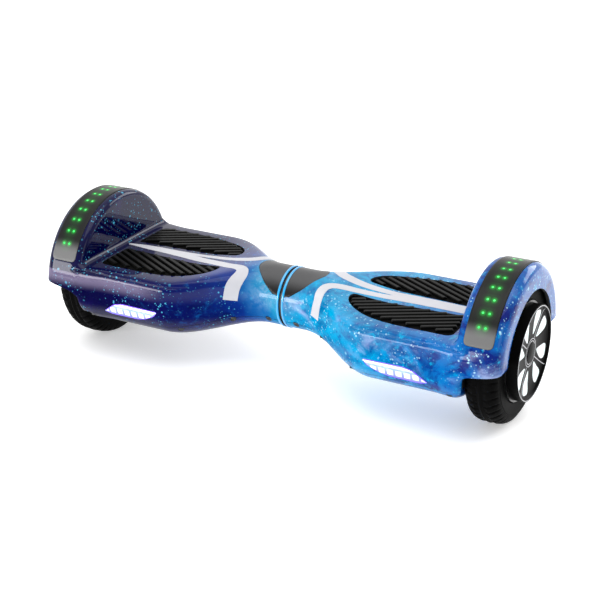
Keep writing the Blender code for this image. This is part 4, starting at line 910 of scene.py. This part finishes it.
def pad_outline(front, grow=0.0):
    """Foot pad in plan on the right half."""
    corner = (PAD_END - PAD_CORNER, PAD_OUTER - PAD_CORNER)
    points = [(PAD_END, corner[1])]
    points += [(corner[0] + PAD_CORNER * math.cos(t), corner[1] + PAD_CORNER * math.sin(t))
               for t in np.linspace(0.2, math.pi / 2, 6)]
    points += [(PAD_TIP + PAD_SWEEP * (1 - math.sin(t)),
                PAD_SWEEP_FROM + (PAD_OUTER - PAD_SWEEP_FROM) * math.cos(t))
               for t in np.linspace(0, math.pi / 2, 22)]
    points += [(86.2, 22.2), (89.5, 19.9), (220.0, PAD_INNER), (PAD_END, 15.0)]
    points = grown(points, grow)
    return [(x, -y) for x, y in points] if front else points


def inside(outline, x, y):
    """Whether each place lies in the outline."""
    p = np.array(outline)
    q = np.roll(p, -1, 0)
    x, y = np.asarray(x)[:, None], np.asarray(y)[:, None]
    spans = (p[:, 1] > y) != (q[:, 1] > y)
    rise = np.where(q[:, 1] == p[:, 1], 1.0, q[:, 1] - p[:, 1])
    edge = (q[:, 0] - p[:, 0]) * (y - p[:, 1]) / rise + p[:, 0]
    return (spans & (x < edge)).sum(1) % 2 == 1


def bar(name, centre, length, width, z0, z1, angle, look, round_over=0.8):
    """Straight rib with rounded upper edges."""
    mesh = bpy.data.meshes.new(name)
    bm = bmesh.new()
    bmesh.ops.create_cube(bm, size=1.0)
    for v in bm.verts:
        v.co = Vector((v.co.x * length, v.co.y * width, z0 + (v.co.z + 0.5) * (z1 - z0)))
    upper = [e for e in bm.edges if sum(v.co.z for v in e.verts) > 2 * z1 - 0.01]
    bmesh.ops.bevel(bm, geom=upper, offset=round_over, segments=3, affect="EDGES")
    bmesh.ops.transform(bm, verts=bm.verts, matrix=Matrix.Translation((centre[0], centre[1], 0))
                        @ Matrix.Rotation(angle, 4, "Z"))
    bmesh.ops.scale(bm, verts=bm.verts, vec=(MM, MM, MM))
    bm.to_mesh(mesh)
    bm.free()
    return new_object(name, mesh, look)


def finish(obj, body, nodes):
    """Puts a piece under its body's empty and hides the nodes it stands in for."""
    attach(obj, body)
    if nodes:
        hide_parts(*nodes)
    return obj


HALVES = (("left", -1, "left_half"), ("right", 1, "right_half"))
HEADLIGHT = rounded([(130.5, 78.8), (178.0, 79.6), (190.0, 77.0), (205.5, 65.1), (196.0, 62.0), (160.0, 62.4),
                     (149.0, 65.2), (135.0, 72.0)], [1.2, 14, 14, 1.4, 14, 14, 14, 14])
WINDOW = [(42.0 * math.cos(t) ** (0.8 if t > 0 else 1.15), (30.0 if t > 0 else 34.0) * math.sin(t))
          for t in np.linspace(-1.47, 1.48, 44)]
ARC_R = LENS_R * math.pi / 180.0
LENS_SIDES = (WHEEL_X - LENS_WIDTH / 2, WHEEL_X + LENS_WIDTH / 2)
LENS_ENDS = (LENS_START * ARC_R, (180 - LENS_START) * ARC_R)
LENS = rounded([(LENS_SIDES[0], LENS_ENDS[0]), (LENS_SIDES[1], LENS_ENDS[0]), (LENS_SIDES[1], LENS_ENDS[1]),
                (LENS_SIDES[0], LENS_ENDS[1])], 6.0, 6)
FITTING_X, FITTING_Z, FITTING_HOLE = 150.0, 87.5, 9.5
SCREWS = [(x, side) for x in (18.0, 58.0, 110.0, 227.0) for side in (-1, 1)]


def on_fender(a, b, height):
    """Place on the lens's own cylinder: across the wheel and along the arc."""
    angle = np.asarray(b) / LENS_R
    reach = LENS_R + np.asarray(height)
    return np.stack([np.asarray(a), -reach * np.cos(angle), AXLE_Z + reach * np.sin(angle)], 1)


def on_deck(a, b, height):
    return on_section(a, over_deck(np.asarray(a), np.asarray(b)), height)


# ---------------------------------------------------------------- covers
PLUG = LOOKS["inside"]
cavity_points, cavity_faces = net(lambda x, y, z: np.maximum(cavity_field(x, y, z), -4.0 - x),
                                  (-8.0, -100.0, 28.0), (242.0, 100.0, 132.0), COARSE_STEP)


def cavity():
    return new_object("cavity", take_mesh("cavity", cavity_points, cavity_faces), PLUG, False)


def seam_cut(name, below, gap):
    """Everything below (or above) the seam line between the two covers."""
    x = np.concatenate([[-10.0], np.linspace(0.0, 132.0, 30), [300.0]])
    line = [(a, float(seam_z(a)) + gap) for a in x]
    edge = 20.0 if below else 200.0
    return prism(name, line + [(300.0, edge), (-10.0, edge)], "Y", -130.0, 130.0)


def neck_cut():
    return block("neck_end", (-12.0, -130.0, 20.0), (NECK_END, 130.0, 200.0))


def painted(cutter):
    """The cutter, with the inner plastic for the faces that it leaves."""
    if not cutter.data.materials:
        cutter.data.materials.append(PLUG)
    return cutter


def top_cover():
    """Upper shell of the right half, with its fender and all its openings."""
    points, faces = net(lambda x, y, z: np.maximum(shell_field(x, y, z), -5.0 - x),
                        (-8.0, -102.0, 50.0), (290.0, 102.0, 184.0), FINE_STEP)
    cover = new_object("right_cover_skin", take_mesh("right_cover_skin", points, faces), LOOKS["shell_right"])
    well = turned("well", [(0, WELL_END), (OPENING_R, WELL_END), (OPENING_R, SIDE_WALL), (WELL_R, SIDE_WALL),
                           (WELL_R, WELL_FACE), (0, WELL_FACE)], 96, PLUG)
    arch = bent("arch", [(80.0, 237.3), (94.0, 237.3), (94.0, 270.0), (92.8, 275.0), (90.6, 278.4),
                         (87.6, 280.6), (80.0, 280.6)], 0.075, 72)
    slot = block("slot", (AXLE_SLOT_X[0], -AXLE_SLOT_R, 20.0), (AXLE_SLOT_X[1], AXLE_SLOT_R, AXLE_Z))
    disc = prism("disc", circle((0.0, AXLE_Z), AXLE_SLOT_R), "X", *AXLE_SLOT_X)
    lens = patch("lens_slot", grown(LENS, 0.35), on_fender, None, 6.0, -8.0, 4.0, 0.3, 0.0)
    pads = [prism("pad_hole", pad_outline(front, 0.35), "Z", 105.0, 125.0) for front in (False, True)]
    lamp = prism("lamp_hole", grown(HEADLIGHT, FIT), "Y", -120.0, -78.0)
    window = prism("window_hole", grown(WINDOW, FIT), "Z", 104.0, 140.0)
    fitting = prism("fitting_hole", circle((FITTING_X, FITTING_Z), FITTING_HOLE), "Y", 46.0, 120.0)
    cutters = [cavity(), well, arch, slot, disc, lens, *pads, lamp, window, fitting, neck_cut(),
               seam_cut("seam", True, 0.0)]
    carve(cover, [painted(c) for c in cutters])
    return cover


def bottom_cover():
    """Lower shell of the right half, and the heads of its screws."""
    points, faces = net(lambda x, y, z: np.maximum(lower_field(x, y, z), -5.0 - x),
                        (-8.0, -100.0, 32.0), (241.0, 100.0, 84.0), FINE_STEP * 1.5)
    cover = new_object("right_belly_skin", take_mesh("right_belly_skin", points, faces), LOOKS["shell_right"])
    cutters = [cavity(), seam_cut("seam", False, -SEAM_GAP), neck_cut()]
    heads = []
    for x, side in SCREWS:
        y = side * SCREW_SHARE * float(half_width(x))
        angle = np.linspace(1.7, 2.9, 60)
        wall = on_section(np.full(60, x), -side * angle, np.zeros(60))
        z = float(wall[np.argmin(np.abs(wall[:, 1] - y)), 2])
        cutters.append(prism("screw_hole", circle((x, y), SCREW_HOLE_R, 24), "Z", 10.0, z + 2.6))
        heads.append(prism("screw_head", circle((x, y), SCREW_R, 24), "Z", z + 1.2, z + 2.9))
        heads[-1].data.materials.append(LOOKS["dark_steel"])
    for k in range(-4, 5):
        reach = SPEAKER_R * math.sqrt(1 - (k / 5.0) ** 2)
        start = SPEAKER_X + k * SPEAKER_PITCH - SPEAKER_SLOT / 2
        cutters.append(block("speaker_slot", (start, -reach, 20.0), (start + SPEAKER_SLOT, reach, 50.0)))
    carve(cover, [painted(c) for c in cutters])
    return cover, heads


right_top = top_cover()
left_top = mirror(right_top, "left_cover_skin", LOOKS["shell_left"])
right_low, heads = bottom_cover()
left_low = mirror(right_low, "left_belly_skin", LOOKS["shell_left"])
for obj, field in ((right_top, shell_field), (left_top, shell_field), (right_low, lower_field),
                   (left_low, lower_field)):
    true_normals(obj, field)
for (half, side, body), top, low in zip(HALVES, (left_top, right_top), (left_low, right_low)):
    finish(top, body, [f"{half}_top_cover"])
    finish(low, body, [f"{half}_bottom_cover"])
right_screws = join("right_screws", heads)
left_screws = mirror(right_screws, "left_screws")
finish(left_screws, "left_half", [])
finish(right_screws, "right_half", [])


# ---------------------------------------------------------------- waist lips
def lip(name, side):
    """Thin round lip along the end of the neck."""
    steps, turns = 160, 10
    angle = np.arange(steps) * math.tau / steps
    rings = []
    for t in np.arange(turns) * math.tau / turns:
        x, height = 3.2 + 1.4 * math.cos(t), 0.1 + math.sin(t)
        rings.append(on_section(np.full(steps, x), angle, np.full(steps, height)) * (side, 1, 1))
    return tube(name, rings, steps, LOOKS["lip"])


for half, side, body in HALVES:
    finish(lip(f"{half}_waist_lip", side), body, [])


# ---------------------------------------------------------------- windows, headlights, fender lenses
def window_piece():
    return patch("right_window", WINDOW, on_deck, LOOKS["smoked"], 0.25, -2.2, 2.0, 0.8, 0.5)


def headlight_piece():
    rim = patch("right_rim", HEADLIGHT, front_wall, LOOKS["headlight_rim"], 0.3, -3.6, 2.0, 0.5, 0.2)
    inner = grown(HEADLIGHT, -0.9)
    lens = patch("right_lamp", inner, front_wall, LOOKS["headlight"], 0.6, -3.4, 2.0, 0.5, 0.25)
    return join("right_lamp_unit", [rim, lens])


def lens_piece():
    lens = patch("right_strip", LENS, on_fender, LOOKS["lens"], 0.0, -3.0, 2.0, 0.8, 0.4)
    dots = []
    for k in range(LED_PAIRS):
        for offset in (-LED_HALF, LED_HALF):
            b = math.radians(LED_FIRST + k * LED_PITCH) * LENS_R
            dot = circle((LED_X + offset, b), LED_R, 14)
            dots.append(patch("dot", dot, on_fender, LOOKS["led"], 0.08, -0.6, 3.0, 0.2, 0.05))
    return join("right_light_strip", [lens, *dots])


for maker, label, node, slot in ((window_piece, "window", "status_window", "smoked_lens"),
                                 (headlight_piece, "lamp_unit", "headlight_lens", "headlight"),
                                 (lens_piece, "light_strip", "fender_lens", "smoked_lens")):
    right_piece = maker()
    right_piece.name = f"right_{label}"
    left_piece = mirror(right_piece, f"left_{label}")
    finish(right_piece, "right_half", [f"right_{node}"])
    finish(left_piece, "left_half", [f"left_{node}"])


# ---------------------------------------------------------------- foot pads
def pad_piece(label, front):
    """Foot pad of the right half: plate, flange, two posts down to the switches, and slanting ribs."""
    outline = pad_outline(front)
    low = min(c[2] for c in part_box(f"right_{label}_foot_pad")) / MM
    base = prism("base", outline, "Z", 112.2, 115.4)
    flange = prism("flange", grown(outline, 1.6), "Z", 110.8, 112.3)
    parts = [base, flange]
    for x in (125.0, 185.0):
        parts.append(prism("post", circle((x, -25.0 if front else 25.0), 3.0, 20), "Z", low, 111.0))
    for part in parts:
        part.data.materials.append(LOOKS["pad"])
    slope = math.radians(RIB_TURN if front else -RIB_TURN)
    way = np.array([math.cos(slope), math.sin(slope)])
    across = np.array([-way[1], way[0]])
    room = grown(outline, -1.8)
    centre = np.array([158.0, -41.0 if front else 41.0])
    run_step = 0.4
    run = np.arange(-100.0, 100.0, run_step)
    for k in range(-12, 13):
        line = centre + across * (k * RIB_PITCH)
        places = line + way * run[:, None]
        good = inside(room, *places.T)
        for edge in (-RIB_WIDTH / 2, RIB_WIDTH / 2):
            good &= inside(room, *(places + across * edge).T)
        if good.sum() * run_step < RIB_SHORTEST:
            continue
        lo, hi = run[good].min(), run[good].max()
        spot = line + way * (lo + hi) / 2
        parts.append(bar("rib", spot, hi - lo, RIB_WIDTH, 115.2, 118.0, slope, LOOKS["rib"]))
    return join(f"right_{label}_tread", parts)


for front, label in ((False, "rear"), (True, "front")):
    right_piece = pad_piece(label, front)
    left_piece = mirror(right_piece, f"left_{label}_tread")
    finish(right_piece, f"right_{label}_pad", [f"right_{label}_foot_pad"])
    finish(left_piece, f"left_{label}_pad", [f"left_{label}_foot_pad"])


# ---------------------------------------------------------------- painted bands
def spot(x, y, z=None):
    """Station and angle in degrees of a place on the deck, or on the wall if its height is given."""
    if z is None:
        return x, math.degrees(float(over_deck(np.array([x]), np.array([y]))[0]))
    return x, math.degrees(math.atan2(-y, z - float(middle(x))))


def by_angle(a, b, height):
    return on_section(a, np.radians(b), height)


def sweep(line, widths, steps=10):
    """Outline, in station and degrees, of a band of the given widths along a smooth line."""
    p = np.array(line, float)
    fine, wide = [], []
    for k in range(len(p) - 1):
        ends = p[max(k - 1, 0)], p[k], p[k + 1], p[min(k + 2, len(p) - 1)]
        for t in np.arange(steps) / steps:
            fine.append(on_curve(*ends, t))
            wide.append(mix(widths[k], widths[k + 1], t))
    fine, wide = np.array(fine + [p[-1]]), np.array(wide + [widths[-1]])
    flat = np.zeros(len(fine))
    per_degree = np.linalg.norm(by_angle(fine[:, 0], fine[:, 1] + 0.5, flat)
                                - by_angle(fine[:, 0], fine[:, 1] - 0.5, flat), axis=1)
    way = np.gradient(fine, axis=0) * np.stack([np.ones(len(fine)), per_degree], 1)
    way /= np.linalg.norm(way, axis=1)[:, None]
    side = np.stack([-way[:, 1], way[:, 0] / per_degree], 1) * wide[:, None] / 2
    return [tuple(q) for q in fine + side] + [tuple(q) for q in (fine - side)[::-1]]


# ---------------------------------------------------------------- wheels
TREAD_DEPTH = 1.7


def tyre():
    """Rubber tyre with a groove on each side of the middle and slanting cuts across the shoulders."""
    profile = [(57.0, 240.6), (62.0, 239.8), (70.0, 239.9), (74.5, 240.8), (78.0, 242.8), (80.2, 245.4),
               (81.4, 248.4), (82.1, 252.0), (82.45, 256.0), (82.5, 259.3), (82.45, 262.6), (82.1, 266.6),
               (81.4, 270.2), (80.2, 273.2), (78.0, 275.8), (74.5, 277.8), (71.2, 278.5), (70.6, 278.2),
               (70.0, 278.7), (62.0, 278.8), (57.0, 278.0)]
    steps = 288
    obj = turned("right_tyre_tread", profile, steps, LOOKS["tyre"])
    mesh = obj.data
    points = np.empty(len(mesh.vertices) * 3)
    mesh.vertices.foreach_get("co", points)
    points = points.reshape(-1, 3) / MM
    radius = np.hypot(points[:, 1], points[:, 2] - AXLE_Z)
    angle = np.degrees(np.arctan2(points[:, 2] - AXLE_Z, points[:, 1])) % 360
    across = points[:, 0] - WHEEL_X
    phase = (angle / 7.5 + np.abs(across) / 26.0 + np.where(across > 0, 0.0, 0.5)) % 1.0
    cut = (phase < 0.17) & (np.abs(across) > 6.0) & (radius > 76.0)
    groove = (np.abs(np.abs(across) - 4.0) < 0.9) & (radius > 80)
    share = 1 - np.where(cut | groove, TREAD_DEPTH, 0.0) / radius
    points[:, 1] *= share
    points[:, 2] = AXLE_Z + (points[:, 2] - AXLE_Z) * share
    mesh.vertices.foreach_set("co", (points * MM).ravel())
    mesh.update()
    mesh.set_sharp_from_angle(angle=math.radians(28))
    return obj


FACE = [(0.0, 288.4), (6.0, 288.2), (11.5, 287.2), (12.4, 286.2), (20.0, 286.0), (34.0, 286.3), (46.0, 287.5),
        (49.6, 288.6), (50.4, 290.2), (51.2, 291.0), (52.6, 291.1), (HUB_R, 290.6)]


def face_x(radius):
    return np.interp(radius, [r for r, _ in FACE], [x for _, x in FACE])


def on_face(a, b, height):
    a, b = np.asarray(a), np.asarray(b)
    return np.stack([face_x(np.hypot(a, b)) + np.asarray(height), a, b + AXLE_Z], 1)


def rotated(outline, turn):
    c, s = math.cos(turn), math.sin(turn)
    return [(c * a - s * b, s * a + c * b) for a, b in outline]


def petal(turn, inset):
    """One lit window between the spokes: wide and round outside, pointed towards the middle."""
    points = [(20.0, 1.5), (27.0, -4.5), (36.0, -9.6), (43.0, -10.4), (46.4, -7.4), (47.0, -1.0), (46.0, 5.0),
              (41.5, 6.6), (34.0, 5.2), (26.0, 3.8)]
    return rotated(grown(closed_curve(points, 5), -inset), turn)


def hub():
    """Black cap with eight lit petals, four double spokes and silver rings."""
    profile = FACE + [(HUB_R, HUB_BACK), (0.0, HUB_BACK)]
    parts = [turned("hub_disc", profile, 96, LOOKS["gloss_black"])]
    for k in range(8):
        turn = math.radians(90.0 * (k // 2) + (PETAL_TURN if k % 2 else -PETAL_TURN) + SPOKE_TURN)
        edge = petal(turn, 0.0)
        parts.append(patch("petal_line", edge, on_face, LOOKS["outline"], 0.22, -0.6, 2.5, 0.3, 0.1))
        parts.append(patch("petal", petal(turn, 0.7), on_face, LOOKS["petal"], 0.45, -0.6, 2.5, 0.4, 0.12))
    for k in range(4):
        ray = [(17.0, -0.45), (50.0, -0.45), (50.0, 0.45), (17.0, 0.45)]
        ray = rotated(ray, math.radians(90.0 * k + SPOKE_TURN))
        parts.append(patch("spoke_line", ray, on_face, LOOKS["outline"], 0.3, -0.6, 2.0, 0.2, 0.1))
    for radius in (15.6, 12.9, 52.0):
        inner, outer = radius - 0.35, radius + 0.35
        back, proud = float(face_x(radius)) - 0.4, float(face_x(radius)) + 0.25
        section = [(inner, back), (inner, proud), (outer, proud), (outer, back)]
        parts.append(turned("ring", section, 96, LOOKS["outline"]))
    return join("right_hub_face", parts)


right_tyre = tyre()
left_tyre = mirror(right_tyre, "left_tyre_tread")
right_hub = hub()
left_hub = mirror(right_hub, "left_hub_face")
for half, tyre_piece, hub_piece in (("left", left_tyre, left_hub), ("right", right_tyre, right_hub)):
    finish(tyre_piece, f"{half}_wheel", [f"{half}_tyre"])
    finish(hub_piece, f"{half}_wheel", [f"{half}_hub_cap"])


# ---------------------------------------------------------------- bands of the print
def print_bands(half, body, front, rear):
    """The two white bands of a half; each station is a place on the body and the band's width there."""
    bands = []
    for stations, height in ((front, 0.22), (rear, 0.14)):
        outline = sweep([spot(*place) for place, _ in stations], [width for _, width in stations])
        bands.append(patch("band", outline, by_angle, LOOKS["stripe"], height, -0.6 - height, 2.0, 0.3, 0.06))
    finish(join(f"{half}_print_band", bands), body, [])


print_bands("left", "left_half",
            [((-231.0, 1.0), 2.5), ((-215.0, 1.6), 7.5), ((-198.0, 2.0), 11.5), ((-160.0, 1.0), 15.0),
             ((-136.0, -2.4), 13.0), ((-116.0, -5.4), 12.0), ((-96.0, -10.0), 12.0), ((-79.0, -15.5), 12.5),
             ((-64.0, -19.0), 13.0), ((-54.5, -24.5), 13.5), ((-52.0, -32.0, 120.6), 14.0),
             ((-53.0, -39.5, 116.5), 14.0), ((-55.0, -46.0, 108.7), 14.0), ((-57.0, -49.0, 93.0), 14.0)],
            [((-180.0, 4.5), 7.0), ((-158.0, 5.5), 7.5), ((-137.0, 7.5), 6.5), ((-116.0, 8.8), 7.2),
             ((-88.0, 6.5), 8.5), ((-64.0, 7.8), 12.0), ((-50.0, 15.0), 14.0), ((-42.5, 25.0), 14.0),
             ((-40.0, 35.0, 112.0), 14.0)])
print_bands("right", "right_half",
            [((227.0, 0.0), 15.0), ((205.0, 0.5), 15.0), ((170.0, 0.8), 15.5), ((145.0, -0.2), 14.5),
             ((127.0, -2.6), 12.0), ((108.0, -6.5), 10.5), ((86.0, -11.5), 11.5), ((71.0, -14.8), 12.5),
             ((60.0, -19.5), 12.5), ((53.5, -27.0), 13.0), ((51.6, -35.5, 118.4), 13.5),
             ((52.0, -43.5, 110.0), 13.0), ((49.0, -44.0, 91.0), 13.0)],
            [((227.0, 6.0), 12.0), ((205.0, 6.0), 12.0), ((170.0, 7.0), 12.5), ((145.0, 7.5), 12.0),
             ((118.0, 8.2), 10.0), ((86.0, 7.0), 12.5), ((64.0, 10.5), 14.0), ((53.0, 15.5), 14.0),
             ((44.0, 25.0), 14.0), ((42.0, 36.0, 112.0), 14.0)])


# ---------------------------------------------------------------- studio
floor_mesh = bpy.data.meshes.new("studio_floor")
floor_mesh.from_pydata([(-6, -6, 0), (6, -6, 0), (6, 6, 0), (-6, 6, 0)], [], [(0, 1, 2, 3)])
floor_look = Look("studio_floor", Roughness=0.6, Specular_IOR_Level=0.2, Emission_Strength=0.3,
                  Emission_Color=(1.0, 1.0, 1.0, 1.0))
floor_look.set("Base Color", floor_look.blend(floor_look.noise(2.0), (0.93, 0.93, 0.93), (0.95, 0.95, 0.95)))
floor = new_object("studio_floor", floor_mesh, floor_look.material, False)

world = bpy.data.worlds.new("studio")
scene.world = world
world.use_nodes = True
sky = world.node_tree
back = sky.nodes["Background"]
direction = sky.nodes.new("ShaderNodeTexCoord").outputs["Generated"]
along = sky.nodes.new("ShaderNodeVectorMath")
along.operation = "DOT_PRODUCT"
along.inputs[1].default_value = (-0.36, 0.72, 0.60)
sky.links.new(direction, along.inputs[0])
level = sky.nodes.new("ShaderNodeMapRange")
for key, value in (("From Min", -0.35), ("From Max", 0.75), ("To Min", 0.45), ("To Max", 1.3)):
    level.inputs[key].default_value = value
sky.links.new(along.outputs["Value"], level.inputs["Value"])
sky.links.new(level.outputs[0], back.inputs["Strength"])
back.inputs["Color"].default_value = (1.0, 1.0, 1.0, 1.0)


def lamp(name, way, distance, size, radiance):
    """Soft box aimed at the object from a direction; its power follows from its size and radiance."""
    data = bpy.data.lights.new(name, "AREA")
    data.shape = "RECTANGLE"
    data.size, data.size_y = size
    data.energy = radiance * size[0] * size[1] * math.pi
    obj = bpy.data.objects.new(name, data)
    scene.collection.objects.link(obj)
    aim = Vector((0.0, 0.0, 0.09))
    obj.location = aim + Vector(way).normalized() * distance
    obj.rotation_euler = (aim - obj.location).to_track_quat("-Z", "Y").to_euler()


lamp("front_box", (-0.53, -0.84, 0.11), 1.9, (1.5, 0.42), 14.0)
lamp("back_box", (0.45, 0.81, 0.36), 2.4, (1.6, 0.9), 5.5)
lamp("top_box", (0.1, -0.15, 1.0), 2.4, (2.6, 2.0), 2.0)
lamp("side_box", (1.0, -0.5, 0.45), 2.2, (0.9, 0.9), 1.6)

camera_data = bpy.data.cameras.new("camera")
camera_data.lens = 84.2
camera_data.sensor_width = 36.0
camera = bpy.data.objects.new("camera", camera_data)
scene.collection.objects.link(camera)
target = Vector((0.0074, 0.0, 0.0881))
turn, rise, reach = math.radians(28.12), math.radians(22.82), 1.61614
camera.location = target + reach * Vector((math.cos(rise) * math.sin(turn), -math.cos(rise) * math.cos(turn),
                                           math.sin(rise)))
camera.rotation_euler = (target - camera.location).to_track_quat("-Z", "Y").to_euler()
scene.camera = camera
scene.view_settings.view_transform = "Standard"
